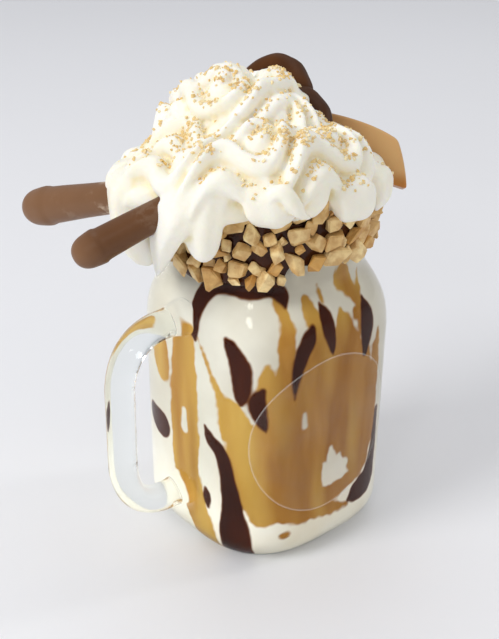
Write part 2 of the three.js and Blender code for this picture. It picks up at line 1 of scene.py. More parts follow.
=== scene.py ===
# %% [markdown]
# # A loaded milkshake in a jar mug
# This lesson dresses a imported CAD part. The solids give the true sizes and places, and each cell
# below makes one visible piece or finish in the same frame: metres, +Z up, the origin under the
# jar's axis, the handle towards -X and the clear label towards -Y. Shapes are worked out in
# millimetres with numpy, as whole arrays, and scaled once when they become meshes.

import bmesh
import bpy
import numpy as np
from mathutils import Matrix
from mathutils.bvhtree import BVHTree


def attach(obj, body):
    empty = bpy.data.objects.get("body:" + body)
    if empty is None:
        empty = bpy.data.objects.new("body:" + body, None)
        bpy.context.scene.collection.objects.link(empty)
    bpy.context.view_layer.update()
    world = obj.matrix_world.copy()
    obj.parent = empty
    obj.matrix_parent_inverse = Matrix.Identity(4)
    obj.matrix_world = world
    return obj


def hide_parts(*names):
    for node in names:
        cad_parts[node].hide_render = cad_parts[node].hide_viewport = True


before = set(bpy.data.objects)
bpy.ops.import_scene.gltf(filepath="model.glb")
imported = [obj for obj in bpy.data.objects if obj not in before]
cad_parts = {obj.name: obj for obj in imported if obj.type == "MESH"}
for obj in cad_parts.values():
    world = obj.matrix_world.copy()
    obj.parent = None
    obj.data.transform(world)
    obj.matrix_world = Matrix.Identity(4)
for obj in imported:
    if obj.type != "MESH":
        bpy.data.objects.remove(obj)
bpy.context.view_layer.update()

MM = 0.001
print("nodes:", ", ".join(sorted(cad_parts)))

# %% [markdown]
# ## Small helpers
# A grid of points needs faces between its neighbours, and a mesh needs both. Blender could build
# these with operators, one click at a time, but a function over arrays is exact and repeatable.
# Colours are written as display values from 0 to 255, because that is how they are seen in a
# picture, and turned into the linear values that shaders work with.

# %% Helpers for meshes and colours


def srgb(red, green, blue):
    """Display values from 0 to 255 as a linear colour: a short straight part, then a 2.4 power."""
    display = np.array([red, green, blue]) / 255
    curved = ((display + 0.055) / 1.055) ** 2.4
    linear = np.where(display <= 0.04045, display / 12.92, curved)
    return (*linear.tolist(), 1.0)


def grid_faces(rows, columns, close_rows=False):
    """Quads between neighbours of a grid whose columns run round a closed outline.
    Corner (i, j) joins j + 1, then row i + 1, so rows that rise face outwards."""
    i = np.arange(rows if close_rows else rows - 1)[:, None]
    j = np.arange(columns)[None, :]
    up = (i + 1) % rows
    beside = (j + 1) % columns
    corners = (i * columns + j, i * columns + beside, up * columns + beside, up * columns + j)
    return np.stack(np.broadcast_arrays(*corners), axis=-1).reshape(-1, 4).tolist()


def capped_faces(rows, columns):
    """The same quads with the first and last rows filled in, which closes the surface."""
    first = list(range(columns))[::-1]
    last = list(range((rows - 1) * columns, rows * columns))
    return grid_faces(rows, columns) + [first, last]


def make_piece(name, points, faces, material, smooth=True):
    """An object at the origin from points in millimetres and lists of corner numbers."""
    mesh = bpy.data.meshes.new(name)
    mesh.from_pydata((np.asarray(points, float).reshape(-1, 3) * MM).tolist(), [], faces)
    mesh.polygons.foreach_set("use_smooth", np.full(len(mesh.polygons), smooth))
    mesh.materials.append(material)
    mesh.update()
    piece = bpy.data.objects.new(name, mesh)
    bpy.context.scene.collection.objects.link(piece)
    return piece


def make_closed(name, rings, material):
    """A piece from rows of rings, with its two ends filled in."""
    return make_piece(name, rings, capped_faces(*rings.shape[:2]), material)


def add_values(piece, name, values):
    """One number for each point of the piece, for its material to read."""
    attribute = piece.data.attributes.new(name, "FLOAT", "POINT")
    attribute.data.foreach_set("value", np.asarray(values, np.float32).ravel())


def settle(piece, node):
    """The piece rides on the body and stands for a CAD node, which is hidden."""
    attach(piece, "root")
    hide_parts(node)
    triangles = sum(len(face.vertices) - 2 for face in piece.data.polygons)
    print(f"{piece.name}: {len(piece.data.vertices)} points, {triangles} triangles")


def smoothstep(low, high, value):
    """0 below low, 1 above high, and an easy curve between them."""
    t = np.clip((value - low) / (high - low), 0, 1)
    return t * t * (3 - 2 * t)


def between(ends, share):
    """The value that lies a share of the way from the first end to the second."""
    return ends[0] + (ends[1] - ends[0]) * share


def unit(arrows):
    """Arrows in the same directions, each divided by its length."""
    return arrows / np.linalg.norm(arrows, axis=-1, keepdims=True)


def polar(angle, radius, z):
    """Points at an angle round the jar's axis, a distance from it and a height."""
    return np.stack(np.broadcast_arrays(radius * np.cos(angle), radius * np.sin(angle), z), axis=-1)


def waves(points, wavelength, seed):
    """Smooth unevenness between about -1 and 1: a mean of sine waves in seeded directions."""
    random = np.random.default_rng(seed)
    total = np.zeros(points.shape[:-1])
    count = 7
    for _ in range(count):
        direction = unit(random.normal(size=3))
        pitch = wavelength * random.uniform(0.7, 1.4)
        total += np.sin(points @ direction * 2 * np.pi / pitch + random.uniform(0, 2 * np.pi))
    return total / np.sqrt(count)


print("display grey 128 is", round(srgb(128, 128, 128)[0], 3), "as a linear value")

# %% [markdown]
# ## Camera, light and floor
# The picture was taken from a little above, turned towards the handle. A camera is a position and
# three directions, so its matrix is written from them. The aim is a point on the jar's axis, and a
# small lens shift centres the picture as it was framed. The main light is a wide soft source on the
# left. A warm fill in front and a broad light above open the shadows, and two small lamps leave
# sparks on glass and chocolate. An even sky fills the rest, as small food is often lit.

# %% Camera
PICTURE = (499, 639)
VIEW_AZIMUTH, VIEW_ELEVATION, VIEW_ROLL = np.radians([-40.916, 27.626, -0.986])
VIEW_DISTANCE = 452.1
AIM = np.array([0, 0, 81.86])
FOCAL_PIXELS = 1240.8
SHIFT_PIXELS = (16.77, -4.50)
SENSOR = 36


def placed(across, upward, back, position):
    """A matrix from three square directions and a position in metres."""
    matrix = np.eye(4)
    matrix[:3] = np.stack([across, upward, back, position], axis=1)
    return Matrix(matrix.tolist())


away = np.array([
    -np.sin(VIEW_AZIMUTH) * np.cos(VIEW_ELEVATION),
    np.cos(VIEW_AZIMUTH) * np.cos(VIEW_ELEVATION),
    -np.sin(VIEW_ELEVATION),
])
level = np.array([np.cos(VIEW_AZIMUTH), np.sin(VIEW_AZIMUTH), 0])
upright = np.cross(level, away)
right = np.cos(VIEW_ROLL) * level - np.sin(VIEW_ROLL) * upright
up = np.sin(VIEW_ROLL) * level + np.cos(VIEW_ROLL) * upright

camera = bpy.data.objects.new("camera", bpy.data.cameras.new("camera"))
camera.data.lens = FOCAL_PIXELS * SENSOR / max(PICTURE)
camera.data.sensor_width = SENSOR
camera.data.shift_x = -SHIFT_PIXELS[0] / max(PICTURE)
camera.data.shift_y = SHIFT_PIXELS[1] / max(PICTURE)
camera.data.clip_start = 0.01
camera.matrix_world = placed(right, up, -away, (AIM - VIEW_DISTANCE * away) * MM)
bpy.context.scene.collection.objects.link(camera)
bpy.context.scene.camera = camera
print(f"camera lens {camera.data.lens:.1f} mm")

# %% Light
SKY_STRENGTH = 0.56
bpy.context.scene.view_settings.view_transform = "Standard"


def soft_light(name, position, size, power, mirrored=True, color=(1, 1, 1)):
    """A round area light that faces the middle of the cup: its back points away from the aim. A
    light that is not mirrored leaves no bright disc on the glass."""
    lamp = bpy.data.lights.new(name, "AREA")
    lamp.shape = "DISK"
    lamp.size = size
    lamp.energy = power
    lamp.color = color
    holder = bpy.data.objects.new(name, lamp)
    back = unit(np.array(position) - AIM * MM)
    side = unit(np.cross([0, 0, 1], back))
    holder.matrix_world = placed(side, np.cross(back, side), back, position)
    holder.visible_glossy = mirrored
    bpy.context.scene.collection.objects.link(holder)


soft_light("key_light", (-1.1, 0.2, 0.9), 0.55, 9.3, mirrored=False)
soft_light("fill_light", (0.1, -1.1, 0.3), 0.6, 1.1, mirrored=False, color=(1, 0.9, 0.72))
soft_light("top_light", (0.15, 0.35, 1.2), 0.9, 2.4)
soft_light("spark_light", (-0.9, -0.5, 0.8), 0.15, 0.9)
soft_light("side_light", (1.05, -0.42, 0.8), 0.12, 1.8)
sky = bpy.data.worlds.new("soft_sky")
sky.use_nodes = True
sky_inputs = sky.node_tree.nodes["Background"].inputs
sky_inputs["Color"].default_value = srgb(238, 240, 245)
sky_inputs["Strength"].default_value = SKY_STRENGTH
bpy.context.scene.world = sky
print("five soft lights and an even sky")

# %% [markdown]
# ## Shared finishes
# Most finishes here need two things: a colour that drifts between two tones, and a surface that is
# not quite flat. Each is made once as a node group with named sockets, so a material can place it
# with its own values. The groups give out only colours, masks and normals, and each shader stays
# in its own material.

# %% Node groups
MIX_LOW, MIX_HIGH, MIX_RESULT = 6, 7, 2


def new_group(name, inputs, outputs):
    """An empty shader node group with the named sockets, and its first and last nodes."""
    group = bpy.data.node_groups.new(name, "ShaderNodeTree")
    for socket, kind in inputs:
        group.interface.new_socket(socket, in_out="INPUT", socket_type=kind)
    for socket, kind in outputs:
        group.interface.new_socket(socket, in_out="OUTPUT", socket_type=kind)
    return group, group.nodes.new("NodeGroupInput"), group.nodes.new("NodeGroupOutput")


def add_node(tree, kind, inputs, **settings):
    """A shader node with its settings. Each input, by name or number, is linked to another node's
    socket or set to a plain value."""
    node = tree.nodes.new("ShaderNode" + kind)
    for name, value in settings.items():
        setattr(node, name, value)
    for key, value in inputs.items():
        if isinstance(value, bpy.types.NodeSocket):
            tree.links.new(value, node.inputs[key])
        else:
            node.inputs[key].default_value = value
    return node


def math_node(tree, operation, first, second, clamp=False):
    """A Math node of two values."""
    return add_node(tree, "Math", {0: first, 1: second}, operation=operation, use_clamp=clamp).outputs[0]


def vector_node(tree, operation, arrow):
    """A Vector Math node of the Object coordinates and another vector."""
    spot = add_node(tree, "TexCoord", {}).outputs["Object"]
    return add_node(tree, "VectorMath", {0: spot, 1: arrow}, operation=operation)


def noise_node(tree, scale, detail, stretch=(1, 1, 1)):
    """Noise with so many bumps in a metre. A stretch multiplies the coordinates first, and a share
    below 1 makes the bumps longer along that axis."""
    spot = vector_node(tree, "MULTIPLY", stretch).outputs["Vector"]
    return add_node(tree, "TexNoise", {"Vector": spot, "Scale": scale, "Detail": detail}).outputs["Fac"]


def mix_node(tree, mask, low, high):
    """A colour between low and high. A Mix node has inputs for each kind of data, and the
    named numbers are those for colours."""
    mix = add_node(tree, "Mix", {"Factor": mask, MIX_LOW: low, MIX_HIGH: high}, data_type="RGBA")
    return mix.outputs[MIX_RESULT]


def ramp_node(tree, value, low, high):
    """A mask that eases from 0 where the value is low to 1 where it is high."""
    inputs = {"Value": value, "From Min": low, "From Max": high}
    return add_node(tree, "MapRange", inputs, interpolation_type="SMOOTHSTEP").outputs["Result"]


def stored(tree, name):
    """The number that each point of the piece stores under a name."""
    return add_node(tree, "Attribute", {}, attribute_name=name).outputs["Fac"]


COLOUR, VALUE, ARROW = "NodeSocketColor", "NodeSocketFloat", "NodeSocketVector"

mottle, start, end = new_group(
    "mottle",
    [("Low", COLOUR), ("High", COLOUR), ("Scale", VALUE), ("Contrast", VALUE), ("Stretch", ARROW)],
    [("Color", COLOUR), ("Mask", VALUE)],
)
drift = noise_node(mottle, start.outputs["Scale"], 4, start.outputs["Stretch"])
centred = math_node(mottle, "SUBTRACT", drift, 0.5)
stretched = math_node(mottle, "MULTIPLY", centred, start.outputs["Contrast"])
mask = math_node(mottle, "ADD", stretched, 0.5, clamp=True)
tone = mix_node(mottle, mask, start.outputs["Low"], start.outputs["High"])
mottle.links.new(tone, end.inputs["Color"])
mottle.links.new(mask, end.inputs["Mask"])

grain, start, end = new_group("grain", [("Scale", VALUE), ("Distance", VALUE)], [("Normal", ARROW)])
bumps = noise_node(grain, start.outputs["Scale"], 5)
bump = add_node(grain, "Bump", {"Strength": 1, "Distance": start.outputs["Distance"], "Height": bumps})
grain.links.new(bump.outputs["Normal"], end.inputs["Normal"])
print("node groups:", mottle.name, grain.name)

# %% Materials that use the groups
SPOT_SCALE, SPOT_CONTRAST, SPOT_SHARE = 260, 5, 0.55


def new_material(name, roughness, **settings):
    """A material with its node tree and its Principled shader, whose plain values are set."""
    material = bpy.data.materials.new(name)
    material.use_nodes = True
    shader = material.node_tree.nodes["Principled BSDF"]
    shader.inputs["Roughness"].default_value = roughness
    for socket, value in settings.items():
        shader.inputs[socket.replace("_", " ")].default_value = value
    return material, material.node_tree, shader


def drifting(tree, low, high, scale, contrast, stretch=(1, 1, 1)):
    """A colour that drifts between two display colours, in so many patches to a metre."""
    colors = {"Low": srgb(*low), "High": srgb(*high)}
    inputs = {"Scale": scale, "Contrast": contrast, "Stretch": stretch, **colors}
    return add_node(tree, "Group", inputs, node_tree=mottle).outputs["Color"]


def patches(tree, scale, contrast):
    """The mask of such a drift."""
    inputs = {"Scale": scale, "Contrast": contrast, "Stretch": (1, 1, 1)}
    return add_node(tree, "Group", inputs, node_tree=mottle).outputs["Mask"]


def finish_surface(tree, shader, color, grain_scale, grain_height):
    """A colour on the shader, over a grain of so many bumps to a metre, with their height in metres."""
    if color:
        tree.links.new(color, shader.inputs["Base Color"])
    node = add_node(tree, "Group", {"Scale": grain_scale, "Distance": grain_height}, node_tree=grain)
    tree.links.new(node.outputs["Normal"], shader.inputs["Normal"])


def mottled_material(name, drift, roughness, grain_scale, grain_height, **settings):
    """A finish whose colour drifts over a lightly grained surface. The drift has two display colours,
    a scale and a contrast."""
    material, tree, shader = new_material(name, roughness, **settings)
    finish_surface(tree, shader, drifting(tree, *drift), grain_scale, grain_height)
    return material


def toned_material(name, low, high, spots, roughness, grain_scale, grain_height):
    """A finish whose blocks differ: each one's tone picks a colour, and spots darken it in places."""
    material, tree, shader = new_material(name, roughness)
    own = mix_node(tree, stored(tree, "tone"), srgb(*low), srgb(*high))
    share = math_node(tree, "MULTIPLY", patches(tree, SPOT_SCALE, SPOT_CONTRAST), SPOT_SHARE)
    finish_surface(tree, shader, mix_node(tree, share, own, srgb(*spots)), grain_scale, grain_height)
    return material


print("finish helpers: drifting, patches, mottled and toned")

# %% [markdown]
# ## Floor
# A plain pale sheet is enough to stand on. It is a wide square grid that stays flat under the cup,
# and a slow drift of tone keeps it from looking like a computed plane.

# %% Floor
FLOOR_HALF = 3000
pale_floor = mottled_material("pale_floor", ((236, 236, 238), (241, 241, 243), 2, 1.5), 0.6, 40, 0.0002)
floor_line = np.linspace(-FLOOR_HALF, FLOOR_HALF, 13)
floor_x, floor_y = np.meshgrid(floor_line, floor_line)
floor_points = np.stack([floor_x, floor_y, np.zeros_like(floor_x)], axis=-1)
count = len(floor_line)
corner = (np.arange(count - 1)[:, None] * count + np.arange(count - 1)).ravel()
floor_faces = np.stack([corner, corner + 1, corner + count + 1, corner + count], axis=-1).tolist()
floor = make_piece("floor", floor_points, floor_faces, pale_floor)
print("floor", 2 * FLOOR_HALF, "mm wide")

# %% [markdown]
# ## The jar's outline
# The jar is a soft square that turns round at the neck. Its outline at each height is a
# superellipse: the radius at an angle is the half width divided by a root of the cosine and sine,
# each raised to a power. A power of 2 gives a circle and a higher power a squarer form. The glass,
# the drink, the sauce and the label all use these same functions, so they fit one another.

# %% Outline functions
BODY_HALF, BASE_HALF, SQUARENESS = 39, 38.4, 3
WALL, FLOOR_THICK = 3.4, 6
HEEL_HEIGHT, HEEL_INSET = 11, 12
SHOULDER_Z, SHOULDER_BLEND, SHOULDER_BEND = 86, 6, 1.5
NECK_Z, NECK_RADIUS, RIM_Z = 109, 33.5, 133.5


def outside_half(z):
    """Half width of the outside: a quarter ellipse at the heel, a straight wall, a cosine shoulder."""
    low = np.clip(1 - z / HEEL_HEIGHT, 0, 1)
    heel = HEEL_INSET * (1 - np.sqrt(1 - low * low))
    wall = np.clip((z - HEEL_HEIGHT) / (SHOULDER_Z - HEEL_HEIGHT), 0, 1)
    turn = np.clip((z - SHOULDER_Z) / (NECK_Z - SHOULDER_Z), 0, 1)
    shoulder = (BODY_HALF - NECK_RADIUS) * (0.5 - 0.5 * np.cos(np.pi * turn**SHOULDER_BEND))
    return BASE_HALF + (BODY_HALF - BASE_HALF) * wall - heel - shoulder


def inside_half(z):
    """Half width of the inside: the outside less the wall, with its own rounded heel."""
    low = np.clip(1 - (z - FLOOR_THICK) / (HEEL_HEIGHT - WALL), 0, 1)
    heel = (HEEL_INSET - WALL) * (1 - np.sqrt(1 - low * low))
    return outside_half(np.maximum(z, HEEL_HEIGHT)) - WALL - heel


def squareness(z):
    """Power of the outline: square below the shoulder, round at the neck."""
    return SQUARENESS + (2 - SQUARENESS) * smoothstep(SHOULDER_Z - SHOULDER_BLEND, NECK_Z, z)


def outline_radius(angle, half, power):
    """Radius of a superellipse at an angle."""
    spread = np.abs(np.cos(angle)) ** power + np.abs(np.sin(angle)) ** power
    return half / spread ** (1 / power)


def jar_surface(z, half, sides):
    """Rows of points at heights z with half widths half, each row going once round the jar."""
    angle = np.linspace(0, 2 * np.pi, sides, endpoint=False)[None, :]
    z, half = np.asarray(z, float)[:, None], np.asarray(half, float)[:, None]
    return polar(angle, outline_radius(angle, half, squareness(z)), z)


def eased(low, high, count):
    """Heights from low to high that are closer together near low, for a rounded corner."""
    return low + (high - low) * (1 - np.cos(np.linspace(0, np.pi / 2, count)))


print("half width at the wall and the neck:", outside_half(50.0), outside_half(120.0))

# %% [markdown]
# ## Glass
# The mug is pressed glass, clear and smooth, with slightly wavy walls. Its body is a profile that
# goes up the outside, over a round lip and down the inside, carried round the outline. The handle
# is an oval profile carried along two arms, two bends and a grip. The two are joined by a Boolean,
# because glass that overlaps itself would bend the light twice. In the material, light that goes
# to the drink passes straight through, which keeps the inside bright with few samples.

# %% Glass material
clear_glass, tree, shader = new_material(
    "clear_glass", 0.02, Transmission_Weight=1.0, IOR=1.27, Base_Color=srgb(250, 253, 252))
finish_surface(tree, shader, None, 55, 0.0004)
through = add_node(tree, "BsdfTransparent", {"Color": srgb(246, 249, 248)}).outputs["BSDF"]
in_shadow = add_node(tree, "LightPath", {}).outputs["Is Shadow Ray"]
choice = add_node(tree, "MixShader", {"Fac": in_shadow, 1: shader.outputs["BSDF"], 2: through})
tree.links.new(choice.outputs["Shader"], tree.nodes["Material Output"].inputs["Surface"])
print("glass finish:", clear_glass.name)

# %% Glass mug
GLASS_SIDES = 160
OUTER_WALL_Z, INNER_WALL_Z = np.linspace(14, 78, 9), np.linspace(78, 16, 9)
BEND_Z, NECK_ROWS_Z = np.linspace(80, NECK_Z, 34), np.array([115, 122, 129])
BASE_SHARES = np.array([0.02, 0.4, 0.8])
GRIP_X, ARM_END_X, GRIP_CORNER, CORNER_EASE = -64.8, -36.6, 19, 2
ARM_Z = (93.5, 23.5)
ROD_RADIAL, ROD_ACROSS, ROD_FLARE, FLARE_LENGTH = 4.9, 5.7, 1.35, 9


def jar_shell():
    """The jar's profile, outside, lip and inside, carried round its outline and closed at the base."""
    inner_heel_z = eased(FLOOR_THICK, FLOOR_THICK + HEEL_HEIGHT - WALL, 12)[::-1]
    outside_z = np.concatenate([eased(0, HEEL_HEIGHT, 14), OUTER_WALL_Z, BEND_Z, NECK_ROWS_Z])
    inside_z = np.concatenate([NECK_ROWS_Z[::-1], BEND_Z[::-1], INNER_WALL_Z, inner_heel_z])
    bend = np.linspace(0, np.pi, 11)
    lip_z = RIM_Z - WALL / 2 + WALL / 2 * np.sin(bend)
    lip_half = NECK_RADIUS - WALL / 2 + WALL / 2 * np.cos(bend)
    base = outside_half(0.0) * BASE_SHARES
    bottom = inside_half(float(FLOOR_THICK)) * BASE_SHARES[::-1]
    z = np.concatenate([np.zeros(3), outside_z, lip_z, inside_z, np.full(3, FLOOR_THICK)])
    half = np.concatenate([base, outside_half(outside_z), lip_half, inside_half(inside_z), bottom])
    return jar_surface(z, half, GLASS_SIDES)


def bowed(first, bend, last, t):
    """Points from first to last at shares t of a curve that is pulled towards bend: first times the
    square of the rest, bend times twice t and the rest, and last times the square of t."""
    t = t[:, None]
    return (1 - t) ** 2 * np.array(first) + 2 * t * (1 - t) * np.array(bend) + t**2 * np.array(last)


def handle_line(count):
    """Points evenly along the handle's centre line: arm, bend, grip, bend and arm."""
    runs = []
    for z, down in zip(ARM_Z, (-1, 1)):
        arm, corner = (GRIP_X + GRIP_CORNER, z), (GRIP_X + CORNER_EASE, z)
        curve = bowed(arm, corner, (GRIP_X, z + down * GRIP_CORNER), np.linspace(0, 1, 40))
        runs.append(np.concatenate([[[ARM_END_X, z]], curve]))
    line = np.concatenate([runs[0], runs[1][::-1]])
    steps = np.linalg.norm(np.diff(line, axis=0), axis=1)
    along = np.concatenate([[0], np.cumsum(steps)])
    even = np.linspace(0, along[-1], count)
    xz = np.stack([np.interp(even, along, line[:, k]) for k in (0, 1)], axis=-1)
    return np.stack([xz[:, 0], np.zeros(count), xz[:, 1]], axis=-1), even


def tube(middles, sides, first_axis, second_axis):
    """A ring at each middle: cosine of the turn along the first axis plus sine along the second."""
    turn = np.linspace(0, 2 * np.pi, sides, endpoint=False)[None, :, None]
    return middles[:, None] + first_axis[:, None] * np.cos(turn) + second_axis[:, None] * np.sin(turn)


def handle_rod():
    """The oval rod, a little thicker where it runs into the glass wall."""
    middles, along = handle_line(150)
    tangent = unit(np.gradient(middles, axis=0))
    across = np.broadcast_to([0.0, 1.0, 0.0], middles.shape)
    outward = np.cross(across, tangent)
    from_end = np.minimum(along, along[-1] - along)[:, None]
    flare = ROD_FLARE + (1 - ROD_FLARE) * smoothstep(0, FLARE_LENGTH, from_end)
    return tube(middles, 36, flare * ROD_RADIAL * outward, flare * ROD_ACROSS * across)


def boolean(piece, tool, operation):
    """The piece joined with or cut by a closed tool, which is then removed."""
    modifier = piece.modifiers.new("cut", "BOOLEAN")
    modifier.operation = operation
    modifier.object = tool
    modifier.solver = "MANIFOLD"
    bake_modifiers(piece)
    bpy.data.objects.remove(tool)


def bake_modifiers(piece):
    """The piece's mesh as its modifiers leave it, with none left on it."""
    shape = piece.evaluated_get(bpy.context.evaluated_depsgraph_get())
    mesh = bpy.data.meshes.new_from_object(shape)
    piece.modifiers.clear()
    piece.data = mesh


glass_mug = make_closed("mug_glass", jar_shell(), clear_glass)
boolean(glass_mug, make_closed("handle_rod", handle_rod(), clear_glass), "UNION")
settle(glass_mug, "glass_mug")

# %% [markdown]
# ## Drink and sauce
# The drink is a thick white shake, and sauce was run down the inside of the glass before it was
# poured, so streaks of dark chocolate and golden caramel lie against the wall. Painting them as a
# picture would need an image. Here each streak is a short path of angle, height and half width, and
# every point of the drink stores how far it lies from the nearest edge. The material turns that
# distance into a mask with a soft, slightly ragged border. The drink reaches just into the wall, so
# that no thin layer of air shows between them.

# %% Sauce paths and distances
SHAKE_TOP_Z = 128
INTO_WALL, INTO_HEEL = 0.2, 2.4
MM_PER_DEGREE = 0.71
BLEND = 0.5
BACK_STREAKS, BACK_START, BACK_SPAN, BACK_STAGGER = 8, 325, 155, 0.7
DRIP_TOP, DRIP_LENGTH, DRIP_WANDER, DRIP_VARIES = (94, 110), (22, 84), 2.2, (0.55, 1.3)
DRIP_PLACES = np.array([0, 0.2, 0.5, 0.8, 0.94, 1])
DRIP_WIDTHS = np.array([1, 0.95, 0.7, 0.65, 0.85, 0.5])
CHOCOLATE_STREAKS = [
    [(210, 109, 4), (198, 108, 3.6), (190, 104, 3.6), (187, 98, 3), (187, 91, 2.6), (189, 87, 1)],
    [(208, 109, 4), (221, 107, 3.4), (231, 109, 3), (239, 106, 2.8), (240, 102, 0.8)],
    [(209, 91, 1.1), (212, 89, 1.9), (217, 84, 3.2), (218, 78, 3.5), (218, 72, 2.4), (218, 68, 0.6)],
    [(228, 74, 1.2), (225, 70, 2.5), (226, 66, 2.8), (228, 61, 1.6), (230, 57, 0.4)],
    [(196, 54, 0.6), (200, 49, 2.3), (206, 47, 2.6), (209.5, 41, 2.6), (211, 33, 3.1), (213, 24, 4.2)],
    [(213, 24, 4.2), (214.5, 15, 5.3), (216, 5, 6.4)],
    [(254, 94, 1.5), (251, 90, 3), (247, 85, 2.5), (245, 80, 2), (244, 75, 1.3), (244, 69, 0.4)],
    [(261, 101, 0.8), (264, 96, 2.5), (265, 91, 2.5), (267, 86, 1.6), (268, 82, 0.4)],
    [(294, 97, 1), (294, 91, 3.7), (294, 85, 3.2), (293, 77, 1.4)],
    [(309, 48, 1.5), (308, 30, 2.4), (303, 19, 4.6), (293, 18, 4.6), (285, 16, 1)],
    [(146, 43, 4.6), (152, 42, 5), (157, 42, 5)],
    [(196, 27, 0.8), (197, 24, 1.8), (198, 20, 1)],
]
CARAMEL_STREAKS = [
    [(179, 84, 7), (178, 62, 8.6), (178, 45, 8.8), (178, 31, 8), (185, 20, 6.4), (194, 11, 5.5),
     (200, 4, 4)],
    [(156, 74, 6.5), (157, 67, 4.6), (159, 62, 1)],
    [(191, 88, 0.4), (196, 82, 0.4), (201, 76, 0.6), (205, 71, 0.9), (209, 66, 3), (213, 61, 5.8),
     (216, 55, 7)],
    [(220, 48, 8.5), (224, 40, 9), (227, 31, 8.4), (229, 24, 6.5)],
    [(237, 61, 8.1), (245, 47, 10.4), (250, 33, 9.3), (256, 24, 5)],
    [(251, 69, 8.5), (261, 55, 11.9), (270, 46, 8.4)],
    [(267, 73, 8.4), (281, 58, 10.6), (290, 44, 9.5), (293, 30, 6)],
    [(286, 76, 8), (296, 59, 6), (300, 40, 6)],
    [(233, 106, 1.4), (237, 102, 1.9), (240, 98, 1.5), (240, 92, 2.1), (240, 86, 2.5), (239, 79, 3.2),
     (235, 74, 4.4)],
    [(230, 83, 0.4), (230, 79, 2.1), (231, 74, 4.3)],
    [(252, 103, 2), (255, 98, 2.3), (257, 93, 3), (260, 86, 5.5), (256, 78, 6)],
    [(275, 97, 1), (275, 91, 3.9), (279, 84, 6.7)],
    [(304, 83, 1), (303, 73, 2.8), (303, 62, 2.8)],
    [(232, 20, 1.3), (246, 20, 2.8), (260, 18, 2.4), (276, 16, 1.9), (284, 15, 0.8)],
    [(238, 13, 1), (241, 13, 1)],
    [(226, 58, 3), (229, 53, 3.5), (231, 49, 3)],
    [(239, 75, 3.5), (242, 70, 4), (245, 65, 4)],
    [(237, 26, 3.5), (243, 22, 3.5)],
    [(270, 82, 3.5), (277, 76, 4)],
    [(227, 67, 1.6), (232, 69, 2.4)],
    [(252, 23, 3), (268, 23, 3.6), (282, 24, 3), (291, 26, 4)],
    [(277, 113, 0.8), (275.5, 109, 0.8), (276.5, 105.2, 0.9), (280, 102.8, 1.1), (285.5, 100.2, 1.4),
     (289, 97, 1)],
    [(302, 106, 0.5), (297, 102.3, 0.6), (292, 99.7, 1), (290.2, 96, 1.1), (288.6, 91, 1.2),
     (288, 86, 0.8)],
    [(281, 110, 3.4), (284, 105.5, 4.4), (289, 101, 3)],
    [(261.5, 107.5, 0.3), (262.7, 104.5, 0.4), (263.4, 101.5, 0.7)],
    [(285.3, 95, 0.6), (284.9, 93, 0.9)],
]
WHITE_GAPS = [
    [(270, 43, 0.8), (271, 38, 2.2), (273, 33, 3.6), (271, 29, 2.2)],
    [(274, 34, 2.8), (281, 33.5, 2.4)],
    [(250, 62, 1), (250.5, 57, 1.4)],
    [(178, 55, 1.2), (178, 48, 2)],
]


def back_streaks(seed, width):
    """Seeded drips for the side that faces away: each starts high, thins as it runs down and ends in
    a round drop."""
    random = np.random.default_rng(seed)
    streaks = []
    for place in range(BACK_STREAKS):
        angle = BACK_START + (place + random.uniform(0, BACK_STAGGER)) * BACK_SPAN / BACK_STREAKS
        top = random.uniform(*DRIP_TOP)
        heights = top - random.uniform(*DRIP_LENGTH) * DRIP_PLACES
        wander = np.cumsum(random.uniform(-DRIP_WANDER, DRIP_WANDER, len(heights)))
        widths = width * random.uniform(*DRIP_VARIES) * DRIP_WIDTHS
        streaks.append(list(zip(angle + wander, heights, widths)))
    return streaks


def rounded(streak):
    """A path with its corners cut twice: each run keeps the points a quarter in from its two ends."""
    path = np.array(streak, float)
    for _ in range(2):
        quarter, last = 0.75 * path[:-1] + 0.25 * path[1:], 0.25 * path[:-1] + 0.75 * path[1:]
        inner = np.stack([quarter, last], axis=1).reshape(-1, 3)
        path = np.concatenate([path[:1], inner[1:-1], path[-1:]])
    return path


def edge_distance(angle, z, streaks):
    """Millimetres from each point to the nearest streak's edge, below zero inside it. For a straight
    run, the nearest place on it is found, and the half width there is taken off the distance. The
    runs are joined by a soft minimum, the logarithm of a sum of powers, so that they flow together."""
    total = np.zeros(angle.shape)
    for path in map(rounded, streaks):
        for (a0, z0, w0), (a1, z1, w1) in zip(path, path[1:]):
            across = ((angle - a0 + 180) % 360 - 180) * MM_PER_DEGREE
            run_across, run_up = (a1 - a0) * MM_PER_DEGREE, z1 - z0
            t = across * run_across + (z - z0) * run_up
            t = np.clip(t / (run_across**2 + run_up**2), 0, 1)
            gap = np.hypot(across - t * run_across, z - z0 - t * run_up) - (w0 + t * (w1 - w0))
            total += np.exp(-gap / BLEND)
    return -BLEND * np.log(total + 1e-9)


print(len(CHOCOLATE_STREAKS), "dark and", len(CARAMEL_STREAKS), "golden streaks in front")

# %% Shake material
shake_finish, tree, shader = new_material("milkshake_and_sauce", 0.45, Specular_IOR_Level=0.0)
DOWNWARD = (1, 1, 0.22)
AMBER = srgb(116, 66, 26)


def edge_mask(tree, name, softness):
    """1 inside a streak and 0 outside, over a border of the given softness in millimetres."""
    return ramp_node(tree, stored(tree, name), softness, -softness)
